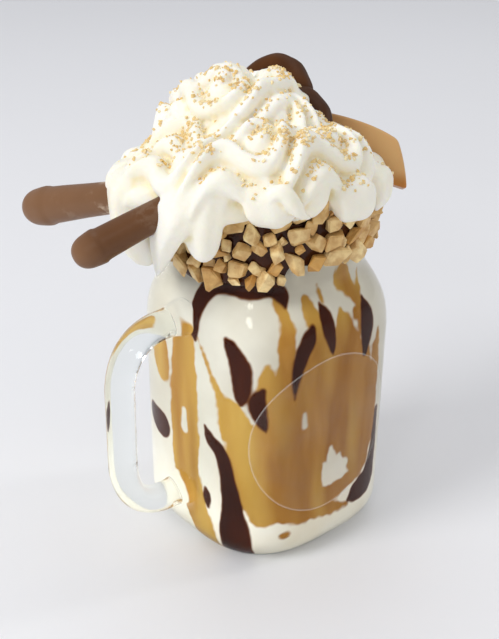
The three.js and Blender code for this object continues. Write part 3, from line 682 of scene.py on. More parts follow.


# Painted light: the white is painted brighter towards the bottom and greyer higher up, standing in for
# light that the base does not get.
white_shaded_top = drifting(tree, (212, 205, 190), (228, 223, 211), 45, 2.4)
white_lit_bottom = drifting(tree, (248, 239, 219), (254, 250, 239), 45, 2.4)
golden = drifting(tree, (192, 148, 64), (212, 172, 90), 90, 2, DOWNWARD)
brown = drifting(tree, (154, 98, 30), (190, 138, 64), 120, 2.4, DOWNWARD)
dark = drifting(tree, (44, 13, 4), (72, 30, 13), 90, 2, DOWNWARD)
white = mix_node(tree, stored(tree, "painted_light_low"), white_shaded_top, white_lit_bottom)
sauce = mix_node(tree, stored(tree, "sauce_depth"), golden, brown)
drink = mix_node(tree, edge_mask(tree, "caramel_edge", 0.7), white, sauce)
rimmed = mix_node(tree, edge_mask(tree, "chocolate_rim", 0.5), drink, AMBER)
full = mix_node(tree, edge_mask(tree, "chocolate_edge", 0.3), rimmed, dark)
tree.links.new(full, shader.inputs["Base Color"])
print("drink finish:", shake_finish.name)

# %% Milkshake
SHAKE_SIDES = 420
CAP_SHARES = np.array([0.02, 0.35, 0.7])
HEEL_WIDER_TO, HEEL_LOWER_TO = HEEL_HEIGHT + 14, HEEL_HEIGHT + 6
BROWN_RIGHT, THIN_ABOVE, THIN_SHARE = (213, 248), (84, 102), 0.55
BROWN_LEFT, BROWN_LEFT_ENDS, LEFT_SHARE = (150, 175), (170, 205), 0.65
STREAKY, LENGTHWISE = 0.3, [1, 1, 0.12]
RAGGED_WIDE, RAGGED_FINE, CALMER = 0.5, 0.3, 0.4
# The second pair gives the heights over which the painted brighter bottom of the white fades out.
RIM_WIDTH, PAINTED_LIGHT_Z = 0.5, (8, 60)
heel_z = eased(FLOOR_THICK, FLOOR_THICK + HEEL_HEIGHT - WALL, 14)
side_z = np.concatenate([heel_z, np.linspace(14.2, NECK_Z, 165), [115, 121, SHAKE_TOP_Z]])
wider = 1 - smoothstep(FLOOR_THICK, HEEL_WIDER_TO, side_z)
side_half = inside_half(side_z) + INTO_WALL + INTO_HEEL * wider
side_z = side_z - INTO_HEEL * (1 - smoothstep(FLOOR_THICK, HEEL_LOWER_TO, side_z))
shake_z = np.concatenate([np.full(3, side_z[0]), side_z, np.full(3, SHAKE_TOP_Z)])
shake_half = np.concatenate([side_half[0] * CAP_SHARES, side_half, side_half[-1] * CAP_SHARES[::-1]])
shake_points = jar_surface(shake_z, shake_half, SHAKE_SIDES)
milkshake = make_closed("milkshake_drink", shake_points, shake_finish)

angle = np.degrees(np.arctan2(shake_points[..., 1], shake_points[..., 0])) % 360
height = shake_points[..., 2]
ragged = RAGGED_WIDE * waves(shake_points, 11, 3) + RAGGED_FINE * waves(shake_points, 4, 5)
chocolate_edge = edge_distance(angle, height, CHOCOLATE_STREAKS + back_streaks(4, 3.2))
chocolate_edge = chocolate_edge + CALMER * ragged + RIM_WIDTH
caramel_edge = edge_distance(angle, height, CARAMEL_STREAKS + back_streaks(9, 7.5)) + ragged
caramel_edge = np.maximum(caramel_edge, -edge_distance(angle, height, WHITE_GAPS) - CALMER * ragged)
depth_right = smoothstep(*BROWN_RIGHT, angle) * (1 - THIN_SHARE * smoothstep(*THIN_ABOVE, height))
depth_left = smoothstep(*BROWN_LEFT, angle) * (1 - smoothstep(*BROWN_LEFT_ENDS, angle))
streaky = STREAKY * waves(shake_points * LENGTHWISE, 8, 8)
sauce_depth = np.clip(depth_right + LEFT_SHARE * depth_left + streaky, 0, 1)
add_values(milkshake, "chocolate_edge", chocolate_edge)
add_values(milkshake, "chocolate_rim", chocolate_edge - RIM_WIDTH)
add_values(milkshake, "caramel_edge", caramel_edge)
# Painted light: 1 at the bottom, where the white is painted brighter, easing to 0 higher up.
add_values(milkshake, "painted_light_low", 1 - smoothstep(*PAINTED_LIGHT_Z, height))
add_values(milkshake, "sauce_depth", sauce_depth)
settle(milkshake, "milkshake")

# %% [markdown]
# ## Clear label
# A round clear film is stuck on the wall. Film is almost invisible: it shows by a faint haze and by
# its bright cut edge. It is a disc bent round the jar, so each point is placed by its distance along
# the outline, and the material makes it nearly transparent except at the rim.

# %% Label
LABEL_RADIUS, LABEL_ALONG, LABEL_Z = 31, -4, 52
LABEL_LIFT, LABEL_THICK, LABEL_RIM = 0.25, 0.3, (0.98, 0.99)
HAZE_MOST, HAZE_LEAST, RIM_SHOWS = 0.02, 0.004, 0.12
film, tree, shader = new_material("clear_film", 0.22, Base_Color=srgb(246, 244, 238))
haze = math_node(tree, "MULTIPLY", patches(tree, 70, 3), HAZE_MOST)
haze = math_node(tree, "ADD", haze, HAZE_LEAST)
cut_edge = math_node(tree, "MULTIPLY", stored(tree, "rim"), RIM_SHOWS)
tree.links.new(math_node(tree, "ADD", haze, cut_edge, clamp=True), shader.inputs["Alpha"])
finish_surface(tree, shader, None, 300, 0.00003)


def face_depth(x, half):
    """How far the outline stands from the middle plane at x: the superellipse solved for y."""
    return (half**SQUARENESS - np.abs(x) ** SQUARENESS) ** (1 / SQUARENESS)


def face_points(along, z, half):
    """Points of the -Y face at a distance along the outline from its middle, found by adding up the
    outline's length in small steps and reading the place back from that sum."""
    x = np.linspace(-0.98, 0.98, 800) * half
    steps = np.hypot(np.diff(x), np.diff(face_depth(x, half)))
    length = np.concatenate([[0], np.cumsum(steps)])
    length -= np.interp(0, x, length)
    place = np.interp(along, length, x)
    return np.stack([place, -face_depth(place, half), z], axis=-1)


label_turn = np.linspace(0, 2 * np.pi, 120, endpoint=False)[None, :]
reach = np.concatenate([np.linspace(0.02, 0.96, 16), [0.975, 0.985, 0.99, 1.0]])
reach = np.concatenate([reach, reach[::-1]])[:, None]
outer = np.repeat([0, 1], len(reach) // 2)[:, None, None]
label_along = LABEL_ALONG + LABEL_RADIUS * reach * np.cos(label_turn)
label_z = LABEL_Z + LABEL_RADIUS * reach * np.sin(label_turn)
on_glass = face_points(label_along, label_z, float(outside_half(float(LABEL_Z))))
outward = on_glass * [1, 1, 0]
outward = unit(np.sign(outward) * np.abs(outward) ** (SQUARENESS - 1))
slope = (outside_half(label_z) - outside_half(float(LABEL_Z)))[..., None]
label_points = on_glass + outward * (slope + LABEL_LIFT + LABEL_THICK * outer)
label = make_closed("label_film", label_points, film)
add_values(label, "rim", smoothstep(*LABEL_RIM, np.broadcast_to(reach, label_z.shape)))
settle(label, "clear_label")

# %% [markdown]
# ## Chocolate band and chopped nuts
# The neck was dipped in melted chocolate and rolled in chopped nuts. The chocolate is a skin that
# follows the neck, with a lower edge that runs down in drips. The nuts are one mesh of angular
# blocks. Every nut is the same small block, stretched, sheared and turned by seeded random numbers,
# so hundreds cost little. They are placed largest first, and one that would crowd an earlier nut is
# left out.

# %% Chocolate band
dark_chocolate = mottled_material(
    "dark_chocolate", ((48, 20, 8), (74, 38, 18), 160, 2), 0.2, 220, 0.0004, Specular_IOR_Level=0.2)
COLLAR_TOP_Z, COLLAR_DRIP, COLLAR_UNEVEN = 132.7, 2, 0.00625
LOW_LIFTS, SKIN_LIFT, TOP_LIFTS, SKIN_ROWS = [0.3, 0.9, 1.4], 1.7, [1.2, 0.4], 24
BAND_LOW = np.array([
    [0, 112], [60, 115], [120, 112], [174, 110], [236, 110.5], [241, 117.5], [300, 116], [360, 112]])


def at_angle(angle, table):
    """Height at an angle, straight between the degrees and heights that the table lists."""
    return np.interp(np.degrees(angle) % 360, *table.T)


collar_turn = np.linspace(0, 2 * np.pi, 240, endpoint=False)[None, :]
drip = np.maximum(np.sin(3 * collar_turn + 1) * np.cos(5 * collar_turn), 0)
collar_low = at_angle(collar_turn, BAND_LOW) - COLLAR_DRIP * drip
up_share = np.concatenate([np.zeros(3), np.linspace(0.03, 1, SKIN_ROWS), [1, 1]])[:, None]
lift = np.concatenate([LOW_LIFTS, np.full(SKIN_ROWS, SKIN_LIFT), TOP_LIFTS])[:, None]
collar_z = collar_low + (COLLAR_TOP_Z - collar_low) * up_share
collar_r = outline_radius(collar_turn, outside_half(collar_z), squareness(collar_z)) + lift
collar_points = polar(collar_turn, collar_r, collar_z)
uneven = COLLAR_UNEVEN * waves(collar_points, 8, 12)[..., None] * collar_points * [1, 1, 0]
collar_points[3:-2] += uneven[3:-2]
collar_faces = grid_faces(*collar_points.shape[:2], close_rows=True)
collar = make_piece("chocolate_band", collar_points, collar_faces, dark_chocolate)
settle(collar, "nut_rim")

# %% Nut block
CHAMFER = 0.24
CORNER_MOVES, SHEAR = (-0.44, 0.14), 0.28


def block_points():
    """A unit block with cut corners: for each corner, one point on each of its three faces."""
    signs = np.array(np.meshgrid([-1, 1], [-1, 1], [-1, 1])).reshape(3, -1).T
    inset = np.full((3, 3), 1 - CHAMFER) + CHAMFER * np.eye(3)
    return (signs[:, None] * inset[None]).reshape(-1, 3) / 2


def hull_faces(points):
    """Triangles of the smallest convex form round the points."""
    mesh = bpy.data.meshes.new("block")
    mesh.from_pydata(points.tolist(), [], [])
    work = bmesh.new()
    work.from_mesh(mesh)
    bpy.data.meshes.remove(mesh)
    bmesh.ops.convex_hull(work, input=list(work.verts))
    work.verts.index_update()
    bmesh.ops.recalc_face_normals(work, faces=list(work.faces))
    faces = [[vert.index for vert in face.verts] for face in work.faces]
    work.free()
    return np.array(faces)


def scattered(name, middles, frames, sizes, random, material):
    """One mesh of blocks: the unit block with its corners moved, scaled to each size, turned by each
    frame and moved to each middle, all as arrays of blocks by corners by axes."""
    block = block_points()
    count = len(middles)
    uneven = np.repeat(random.uniform(*CORNER_MOVES, (count, len(block) // 3, 3)), 3, axis=1)
    corners = block[None] * (1 + uneven)
    shear = np.eye(3) + random.uniform(-SHEAR, SHEAR, (count, 3, 3)) * (1 - np.eye(3))
    corners = np.einsum("nij,nkj->nki", shear, corners) * sizes[:, None]
    corners = np.einsum("nij,nkj->nki", frames, corners) + middles[:, None]
    faces = hull_faces(block)[None] + (np.arange(count) * len(block))[:, None, None]
    piece = make_piece(name, corners, faces.reshape(-1, 3).tolist(), material, smooth=False)
    add_values(piece, "tone", np.repeat(random.uniform(0, 1, count), len(block)))
    return piece


def random_turns(random, count, most):
    """Rotation matrices by seeded angles about x, y and z in turn, each up to most in size. A turn
    about an axis puts cosines and sines where the other two axes meet."""
    turns = np.eye(3)
    for axis, angle in enumerate(random.uniform(-1, 1, (3, count)) * np.asarray(most)[:, None]):
        first, second = (axis + 1) % 3, (axis + 2) % 3
        step = np.tile(np.eye(3), (count, 1, 1))
        step[:, first, first] = step[:, second, second] = np.cos(angle)
        step[:, second, first] = np.sin(angle)
        step[:, first, second] = -np.sin(angle)
        turns = turns @ step
    return turns


print("block:", len(block_points()), "points,", len(hull_faces(block_points())), "triangles")

# %% Chopped nuts
chopped_nut = toned_material(
    "chopped_nut", (206, 158, 86), (252, 230, 172), (176, 122, 56), 0.5, 900, 0.0002)
NUT_TRIES, NUT_SPACING, NUT_SIZE = 5000, 5.2, np.array([6.6, 4.9, 4.4])
NUT_INSET, NUT_SCALES, NUT_VARIES = 1.4, (0.5, 1.12), (0.85, 1.15)
NUT_STAND, NUT_STAND_SCALED, NUT_TILT = 1.3, 1.6, 0.55
NUT_TOP = np.array([
    [0, 134], [225, 134.5], [238, 138.5], [262, 138.5], [275, 134], [290, 130], [335, 130], [360, 134]])
random = np.random.default_rng(5)
nut_angle = random.uniform(0, 2 * np.pi, NUT_TRIES)
nut_ends = (at_angle(nut_angle, BAND_LOW) + NUT_INSET, at_angle(nut_angle, NUT_TOP))
nut_z = between(nut_ends, random.uniform(0, 1, NUT_TRIES))
nut_scale = np.sort(random.uniform(*NUT_SCALES, NUT_TRIES))[::-1]
kept = []
for i in range(NUT_TRIES):
    gap_across = np.abs((nut_angle[kept] - nut_angle[i] + np.pi) % (2 * np.pi) - np.pi) * NECK_RADIUS
    gap = np.hypot(gap_across, nut_z[kept] - nut_z[i])
    if np.all(gap > NUT_SPACING * (nut_scale[kept] + nut_scale[i]) / 2):
        kept.append(i)
nut_angle, nut_z, nut_scale = nut_angle[kept], nut_z[kept], nut_scale[kept]
nut_r = outline_radius(nut_angle, outside_half(nut_z), squareness(nut_z))
nut_middles = polar(nut_angle, nut_r + NUT_STAND + NUT_STAND_SCALED * nut_scale, nut_z)
outward = polar(nut_angle, 1, 0)
upward = np.broadcast_to([0.0, 0.0, 1.0], outward.shape)
round_jar = np.stack([np.cross(upward, outward), upward, outward], axis=-1)
nut_frames = round_jar @ random_turns(random, len(kept), (NUT_TILT, NUT_TILT, np.pi))
nut_sizes = NUT_SIZE * nut_scale[:, None] * random.uniform(*NUT_VARIES, (len(kept), 3))
nuts = scattered("chopped_nuts", nut_middles, nut_frames, nut_sizes, random, chopped_nut)
settle(nuts, "nut_rim")

# %% [markdown]
# ## Whipped cream
# The cream was piped through a star nozzle in a rising spiral, and it slumped over the rim on the
# handle's side. A star-shaped section is carried along that spiral and turned a little at each step,
# which gives the twisted folds. The rope, the mound under it, the tips, the folds that hang over the
# rim and one thin curl overlap, so a voxel remesh turns them into one skin, and smoothing rounds it
# as soft cream does.

# %% Cream shapes
CREAM_TURNS, CREAM_START = 2.7, 2.2
ROPE_LOBES, LOBE_DEPTH = 6, 0.46
RUFFLE_LENGTH, RUFFLE_SWING, RUFFLE_SWELL, RUFFLE_DRIFT = 25, 0.62, 0.10, 150
RUFFLE_STRAY, RUFFLE_STRAY_LENGTH, SLOW_SWING, SLOW_RATE = 1.1, 37, 0.2, 0.37
ROPE_RADIUS, ROPE_ROUND, ROPE_BLUNT = (15.6, 10), (0.05, 0.06), 0.12
SPIRAL_RADIUS, SPIRAL_TAPER = (35, 10.5), 2.6
SPIRAL_Z, SPIRAL_RISE = (146, 165), 1.5
HANGS = [(2.8, 0.72, 11), (4.5, 0.7, -3.5), (6.2, 1.1, 12), (9, 0.9, 5)]
TUCKS = [(2.6, 0.6, 4), (5.45, 0.5, 2.5), (8.7, 0.8, 5.5), (11.85, 0.6, 2.5)]
LEAN, LEAN_ANGLE = (7.5, 10), 2.427
MOUND = [[133, 30], [134.4, 36], [140, 33], [150, 24], [158, 13]]
FOOT = [[132.6, 32], [134.5, 35], [138, 36.5], [143, 34], [148, 20]]
TIPS = [((-11, 9), 0.9, [[150, 12], [158, 12], [165, 11.5], [170, 9.5], [174, 6], [175.6, 1]]),
        ((3.5, 2.0), -0.5, [[150, 12], [158, 12], [164, 10], [169, 7.5], [172, 4], [173.2, 1]])]
TIP_TWIST = 0.05
FOLDS = [
    (207, 152, 181, 112, 9, 1.3, 2.8), (206, 152, 201, 121, 8, 2.2), (227, 149, 231, 135, 9, 2.4),
    (249, 149, 247, 136.5, 6, 2.2), (271, 144, 275, 132, 10, 2.4), (308, 141, 304, 127, 8, 2),
    (338, 138, 334, 121, 9, 2), (363, 136, 358, 119, 9, 2), (24, 138, 22, 124, 9, 2),
    (50, 140, 46, 128, 8, 2), (74, 140, 72, 130, 9, 2), (100, 139, 97, 127, 8, 2),
    (122, 138, 121, 123, 8, 2), (143, 140, 147, 116, 10, 1.8), (160, 142, 167, 112, 13, 2.2),
]
FOLD_REACH, FOLD_SWAY, FOLD_FLAT, FOLD_DROOP = 44, 6, 0.62, 1.5
FOLD_START_IN, FOLD_TIP_IN, FOLD_START_SIZE, FOLD_CLOSES = 13, 2.5, 0.75, 0.3
FOLD_LOBES, FOLD_DEPTH = 5, 0.14
CURL = [
    (228, 143, 47), (230, 148, 48.5), (234, 150.5, 49), (238, 146, 49), (241, 141.5, 48), (246, 139, 46)]
CURL_RADIUS, CURL_END = 2.7, 0.02


def lean(share):
    """How far the cream stands off the jar's axis at a share of its height, as x and y."""
    return between(LEAN, share)[..., None] * np.array([np.cos(LEAN_ANGLE), np.sin(LEAN_ANGLE)])


def lobe_share(phase):
    """Share of the radius round the star: whole numbers are grooves, and a sine rounds each lobe."""
    return 1 - LOBE_DEPTH * (1 - np.abs(np.sin(np.pi * phase)) ** 0.8)


def round_end(distance, stretch):
    """0 at the rope's end and 1 past its rounded stretch, along a quarter circle."""
    t = 1 - np.minimum(distance / stretch, 1)
    return np.maximum(np.sqrt(1 - t * t), ROPE_BLUNT)


def bells(angle, places):
    """A sum of bell curves, each with the angle of its middle, its spread and its height."""
    return sum(height * np.exp(-(((angle - at) / spread) ** 2)) for at, spread, height in places)


def cream_rope(steps, samples):
    """The star carried along the spiral: its radius shrinks, its height grows, and low folds hang
    down. The star swings to and fro as it goes, which makes ruffles, and it turns slowly as well."""
    share = np.linspace(0, 1, steps)
    angle = CREAM_START + 2 * np.pi * CREAM_TURNS * share
    inward = 1 - np.cos(np.pi / 2 * share) ** SPIRAL_TAPER
    spiral = between(SPIRAL_RADIUS, inward) - bells(angle, TUCKS)
    length = np.concatenate([[0], np.cumsum(np.diff(angle) * (spiral[1:] + spiral[:-1]) / 2)])
    stray = RUFFLE_STRAY * np.sin(length / RUFFLE_STRAY_LENGTH)
    wave = 2 * np.pi * length / RUFFLE_LENGTH + stray
    height = between(SPIRAL_Z, share**SPIRAL_RISE) - bells(angle, HANGS)
    around = np.stack([np.cos(angle), np.sin(angle)], axis=-1)
    middles = np.concatenate([lean(share) + spiral[:, None] * around, height[:, None]], axis=1)
    ends = round_end(share, ROPE_ROUND[0]) * round_end(1 - share, ROPE_ROUND[1])
    radius = between(ROPE_RADIUS, share) * (1 + RUFFLE_SWELL * np.sin(wave + 1)) * ends
    swing = RUFFLE_SWING * np.sin(wave) + SLOW_SWING * np.sin(SLOW_RATE * wave + 2)
    twist = 2 * np.pi * length / RUFFLE_DRIFT + swing
    phase = np.linspace(0, ROPE_LOBES, samples, endpoint=False)[None, :]
    turn = 2 * np.pi * phase / ROPE_LOBES - twist[:, None]
    out = radius[:, None] * lobe_share(phase)
    outward = middles[:, None, :2] - (out * np.cos(turn))[..., None] * around[:, None]
    upward = middles[:, None, 2:] + (out * np.sin(turn))[..., None]
    return np.concatenate([outward, upward], axis=-1)


def cream_rings(profile, centre, star):
    """Rings about an upright line at the profile's heights and radii, round or turned star-shaped."""
    table = np.array(profile, float)
    spread = np.linspace(0, 1, len(table))
    z, radius = (np.interp(np.linspace(0, 1, 30), spread, column)[:, None] for column in table.T)
    phase = np.linspace(0, ROPE_LOBES, 96, endpoint=False)[None, :]
    turn = 2 * np.pi * phase / ROPE_LOBES + star + TIP_TWIST * z
    out = radius * (lobe_share(phase) if star else 1)
    rings = (centre[0] + out * np.cos(turn), centre[1] + out * np.sin(turn), z)
    return np.stack(np.broadcast_arrays(*rings), axis=-1)


def cream_fold(top, high, foot, low, width, blunt, proud=0):
    """A fold that hangs over the rim. Its path goes out and down, from one angle in degrees and height
    to another, and its soft star section closes at the low end: a higher power is blunter. A proud
    fold stands further out below its top."""
    t = np.linspace(0, 1, 60)
    angle = np.radians(between((top, foot), t))
    reach = FOLD_REACH + FOLD_SWAY * np.cos(angle - LEAN_ANGLE) + proud * smoothstep(0.25, 0.6, t)
    inward = FOLD_START_IN * (1 - smoothstep(0, 0.32, t)) + FOLD_TIP_IN * smoothstep(0.6, 1, t)
    middles = polar(angle, reach - inward, between((high, low), t**FOLD_DROOP))
    across = polar(angle + np.pi / 2, 1, 0)
    outward = unit(np.cross(np.gradient(middles, axis=0), across))
    closing = np.clip((t - FOLD_CLOSES) / (1 - FOLD_CLOSES), 0, 0.999) ** (1.5 * blunt)
    swell = between((FOLD_START_SIZE, 1), smoothstep(0, 0.4, t))
    size = (width * swell * (1 - closing) ** (1 / blunt))[:, None, None]
    turn = np.linspace(0, 2 * np.pi, 48, endpoint=False)[None, :, None]
    star = 1 - FOLD_DEPTH * (0.5 - 0.5 * np.cos(FOLD_LOBES * turn))
    section = np.cos(turn) * across[:, None] + FOLD_FLAT * np.sin(turn) * outward[:, None]
    return middles[:, None] + size * star * section


def cream_curl(path, radius):
    """A thin curled edge: a round section carried along points of angle, height and distance from the
    axis. Its size follows the root of a half sine, which closes both ends."""
    degrees, height, reach = rounded(path).T
    middles = polar(np.radians(degrees), reach, height)
    ahead = np.gradient(middles, axis=0)
    across = unit(np.cross(ahead, polar(np.radians(degrees), 1, 0)))
    upward = unit(np.cross(ahead, across))
    half_turn = np.linspace(CURL_END, np.pi - CURL_END, len(middles))
    size = radius * np.sqrt(np.sin(half_turn))[:, None]
    return tube(middles, 24, size * across, size * upward)


print("rope points:", cream_rope(300, 96).shape)

# %% Cream material
# The golden tint is melted sugar round some crumbs and painted warm shade in the hollows.
SUGAR_AND_SHADE_TINT = srgb(240, 216, 122)
CREAM_SCATTER = (1.0, 0.8, 0.45)
soft_cream, tree, shader = new_material(
    "soft_cream", 0.5, Subsurface_Weight=0.35, Subsurface_Scale=0.004, Subsurface_Radius=CREAM_SCATTER)
tones = drifting(tree, (249, 242, 222), (252, 249, 240), 35, 2)
finish_surface(tree, shader, mix_node(tree, stored(tree, "sugar_and_hollow_shade"), tones, SUGAR_AND_SHADE_TINT), 420, 0.00025)
print("cream finish:", soft_cream.name)

# %% Whipped cream
VOXEL = 0.8
SOFTEN_SHARE, SOFTEN_ROUNDS = 0.5, 4
NECK_SPACE = [[100, 40.6], [127, 40.6], [131, 38], [RIM_Z + 0.3, 35.5], [RIM_Z + 0.4, 1]]


def joined(grids):
    """Several capped grids as one list of points and one list of faces."""
    points, faces, base = [], [], 0
    for grid in grids:
        rows, columns = grid.shape[:2]
        points.append(grid.reshape(-1, 3))
        faces += [[base + corner for corner in face] for face in capped_faces(rows, columns)]
        base += rows * columns
    return np.concatenate(points), faces


rope = cream_rope(420, 96)[:, ::-1]
mound = cream_rings(MOUND, lean(np.array(0.5)) * 0.7, 0)
foot = cream_rings(FOOT, (0, 0), 0)
tips = [cream_rings(profile, centre, star) for centre, star, profile in TIPS]
folds = [cream_fold(*fold) for fold in FOLDS]
parts = [rope, mound, foot, *tips, *folds, cream_curl(CURL, CURL_RADIUS)]
cream = make_piece("piped_cream", *joined(parts), soft_cream)
remesh = cream.modifiers.new("one_skin", "REMESH")
remesh.mode = "VOXEL"
remesh.voxel_size = VOXEL * MM
bake_modifiers(cream)

boolean(cream, make_closed("neck_space", cream_rings(NECK_SPACE, (0, 0), 0), soft_cream), "DIFFERENCE")
soften = cream.modifiers.new("soften", "SMOOTH")
soften.factor = SOFTEN_SHARE
soften.iterations = SOFTEN_ROUNDS
bake_modifiers(cream)
cream.data.polygons.foreach_set("use_smooth", np.full(len(cream.data.polygons), True))
settle(cream, "whipped_cream")

# %% [markdown]
# ## Sugar crumbs
# Golden sugar was sprinkled over the top. Crumbs fall straight down, so each is dropped from above
# and kept where it first meets the cream. They fall in clusters, as a pinch of sugar does. Sugar that
# melts leaves a golden tint round some crumbs, and the same golden colour is painted into the hollows
# as painted warm shade, so every point of the cream stores how strongly it is tinted.

# %% Crumbs
golden_sugar = toned_material(
    "golden_sugar", (234, 203, 132), (252, 240, 200), (222, 176, 98), 0.25, 1500, 0.0001)
CLUSTERS, CRUMBS_PER_CLUSTER, CRUMB_REACH, CLUSTER_SIZE = 100, 20, 46, 2.4
CRUMB_CENTRE = lean(np.array(0.5)) + [5, -4]
CRUMB_SIZES, CRUMB_VARIES = (0.55, 1.35), (0.7, 1.2)
DROP_HEIGHT, LEAST_UPWARD, LOWEST = 0.3, 0.25, 0.134
random = np.random.default_rng(23)
cream_tree = BVHTree.FromObject(cream, bpy.context.evaluated_depsgraph_get())
spread = CRUMB_REACH * np.sqrt(random.uniform(0, 1, CLUSTERS))
bearing = random.uniform(0, 2 * np.pi, CLUSTERS)
centres = polar(bearing, spread, 0)[:, :2] + CRUMB_CENTRE
falls = np.repeat(centres, CRUMBS_PER_CLUSTER, axis=0)
falls = falls + random.normal(0, CLUSTER_SIZE, falls.shape)
landed = []
for x, y in falls * MM:
    spot, normal, _, _ = cream_tree.ray_cast((x, y, DROP_HEIGHT), (0, 0, -1))
    if spot is not None and normal.z > LEAST_UPWARD and spot.z > LOWEST:
        landed.append(tuple(spot))
crumb_middles = np.array(landed) / MM
crumb_sizes = random.uniform(*CRUMB_SIZES, (len(landed), 1))
crumb_sizes = crumb_sizes * random.uniform(*CRUMB_VARIES, (len(landed), 3))
crumb_frames = random_turns(random, len(landed), (np.pi, np.pi, np.pi))
crumbs = scattered("sugar_crumbs", crumb_middles, crumb_frames, crumb_sizes, random, golden_sugar)
settle(crumbs, "whipped_cream")

# %% Melted sugar and painted shade in the hollows
STAINS, STAIN_SIZE, STAIN_TINT = 24, 2.2, 0.45
HOLLOW_ROUNDS, HOLLOW_SHADE, HOLLOW_RANGE = 30, 0.36, (0.08, 0.6)


def read_rows(items, name, width, kind=float):
    """A property of every point or edge of a mesh, as an array with a row for each."""
    values = np.empty(width * len(items), kind)
    items.foreach_get(name, values)
    return values.reshape(-1, width)


def hollowness(points, normals, edges):
    """Millimetres that each point lies below its surroundings. The surface is evened out by taking
    each point to the middle of its neighbours again and again, and the way back is measured along
    the normal."""
    ends, others = edges.ravel(), edges[:, ::-1].ravel()
    neighbours = np.bincount(ends)
    even = points
    for _ in range(HOLLOW_ROUNDS):
        sums = [np.bincount(ends, weights=column[others]) for column in even.T]
        even = np.stack(sums, axis=-1) / neighbours[:, None]
    return np.sum((even - points) * normals, axis=1)


cream_points = read_rows(cream.data.vertices, "co", 3) / MM
cream_normals = read_rows(cream.data.vertices, "normal", 3)
hollow = hollowness(cream_points, cream_normals, read_rows(cream.data.edges, "vertices", 2, int))
# Painted shade: the deeper hollows of the cream are tinted golden, as warm shade in the folds.
sugar_and_shade = HOLLOW_SHADE * smoothstep(*HOLLOW_RANGE, hollow)
for spot in crumb_middles[random.integers(0, len(crumb_middles), STAINS)]:
    apart = np.linalg.norm(cream_points - spot, axis=1)
    sugar_and_shade = np.maximum(sugar_and_shade, STAIN_TINT * np.exp(-((apart / STAIN_SIZE) ** 2)))
add_values(cream, "sugar_and_hollow_shade", sugar_and_shade * np.clip(0.7 + 0.5 * waves(cream_points, 5, 31), 0, 1))
# The share counts the melted sugar and the painted shade in the hollows together.
print(f"melted sugar tints {np.mean(sugar_and_shade > 0.1):.0%} of the cream")

# %% [markdown]
# ## Chocolate fingers
# Two chocolate-coated biscuit fingers stick out on the handle's side. Each is a round rod with a
# domed tip and a low ridge where the coating was thicker. The profile is carried round a straight
# axis, and the milk chocolate has a soft sheen with paler scuffs.

# %% Milk chocolate
SCUFF = srgb(212, 192, 168)
milk_chocolate, tree, shader = new_material("milk_chocolate", 0.42, Specular_IOR_Level=0.3)
deep = drifting(tree, (80, 46, 20), (100, 63, 33), 28, 1.6)
pale = drifting(tree, (122, 88, 60), (146, 108, 78), 28, 1.6)
body = mix_node(tree, stored(tree, "paleness"), deep, pale)
rubbed = math_node(tree, "MULTIPLY", patches(tree, 420, 7), stored(tree, "scuffed"))
finish_surface(tree, shader, mix_node(tree, rubbed, body, SCUFF), 140, 0.0002)
print("finger finish:", milk_chocolate.name)

# %% Fingers
FINGERS = {
    "chocolate_finger_back": dict(
        tip=(-57.9, 65.0, 117.5), end=(-33.8, 2.6, 139.2), radii=(7, 4.4), wear=0.6,
        paleness=(0.9, 0.7)),
    "chocolate_finger_front": dict(
        tip=(-75.4, 6.8, 123.7), end=(-36.2, -11.6, 144.2), radii=(5.9, 4.2), wear=0.06,
        paleness=(0.75, 0.1)),
}
DOME, DOME_POWER, FOOT_CLOSES = 1.3, 2.3, 0.8
RIDGE, RIDGE_RISE, RIDGE_FALL = 0.06, (0.9, 1.55), (1.75, 1.6)
COATING_UNEVEN = 0.1


def lumpy(rings, middles, share, wavelength, seed):
    """Rings moved to and from their middles by a share of their radius, in slow waves."""
    return rings + share * waves(rings, wavelength, seed)[..., None] * (rings - middles[:, None])


def finger_surface(tip, end, radii):
    """Radius along the rod: a rounded dome, a straight taper, a low step and a blunt foot."""
    tip, end = np.array(tip), np.array(end)
    length = np.linalg.norm(end - tip)
    axis = (end - tip) / length
    side = unit(np.cross(axis, [0, 0, 1]))
    dome_rows = eased(0.002, DOME, 24) * radii[0]
    along = np.concatenate([dome_rows, np.linspace(1.35 * radii[0], length - 0.1, 60)])
    dome = np.clip(1 - along / (DOME * radii[0]), 0, 1)
    foot = np.clip(1 - (length - along) / radii[1], 0, 1)
    widths = along / radii[0]
    ridge = RIDGE * smoothstep(*RIDGE_FALL, widths) * smoothstep(*RIDGE_RISE, widths)
    taper = between(radii, along / length) + ridge * radii[0]
    rounding = (1 - dome**DOME_POWER) ** (1 / DOME_POWER) * np.sqrt(1 - foot**2 * FOOT_CLOSES)
    radius = (taper * rounding)[:, None]
    middles = tip + along[:, None] * axis
    rings = tube(middles, 48, radius * side, radius * np.cross(axis, side))
    return lumpy(rings, middles, COATING_UNEVEN / radii[0], 17, 6)


for node, values in FINGERS.items():
    rings = finger_surface(values["tip"], values["end"], values["radii"])
    finger = make_closed(node.replace("chocolate", "coated"), rings, milk_chocolate)
    row = np.linspace(0, 1, len(rings))[:, None]
    worn = smoothstep(0.35, 0.65, row) * smoothstep(0.2, 0.9, waves(rings, 15, 2))
    paler = between(values["paleness"], smoothstep(0.1, 0.4, row))
    add_values(finger, "scuffed", values["wear"] * worn)
    add_values(finger, "paleness", np.broadcast_to(paler, rings.shape[:2]))
    settle(finger, node)

# %% [markdown]
# ## Chocolate pretzel
# A small pretzel dipped in milk chocolate leans behind the cream. Its strand is one curve that loops
# twice and crosses itself, with a round section carried along it. Slow waves make the coating lumpy.

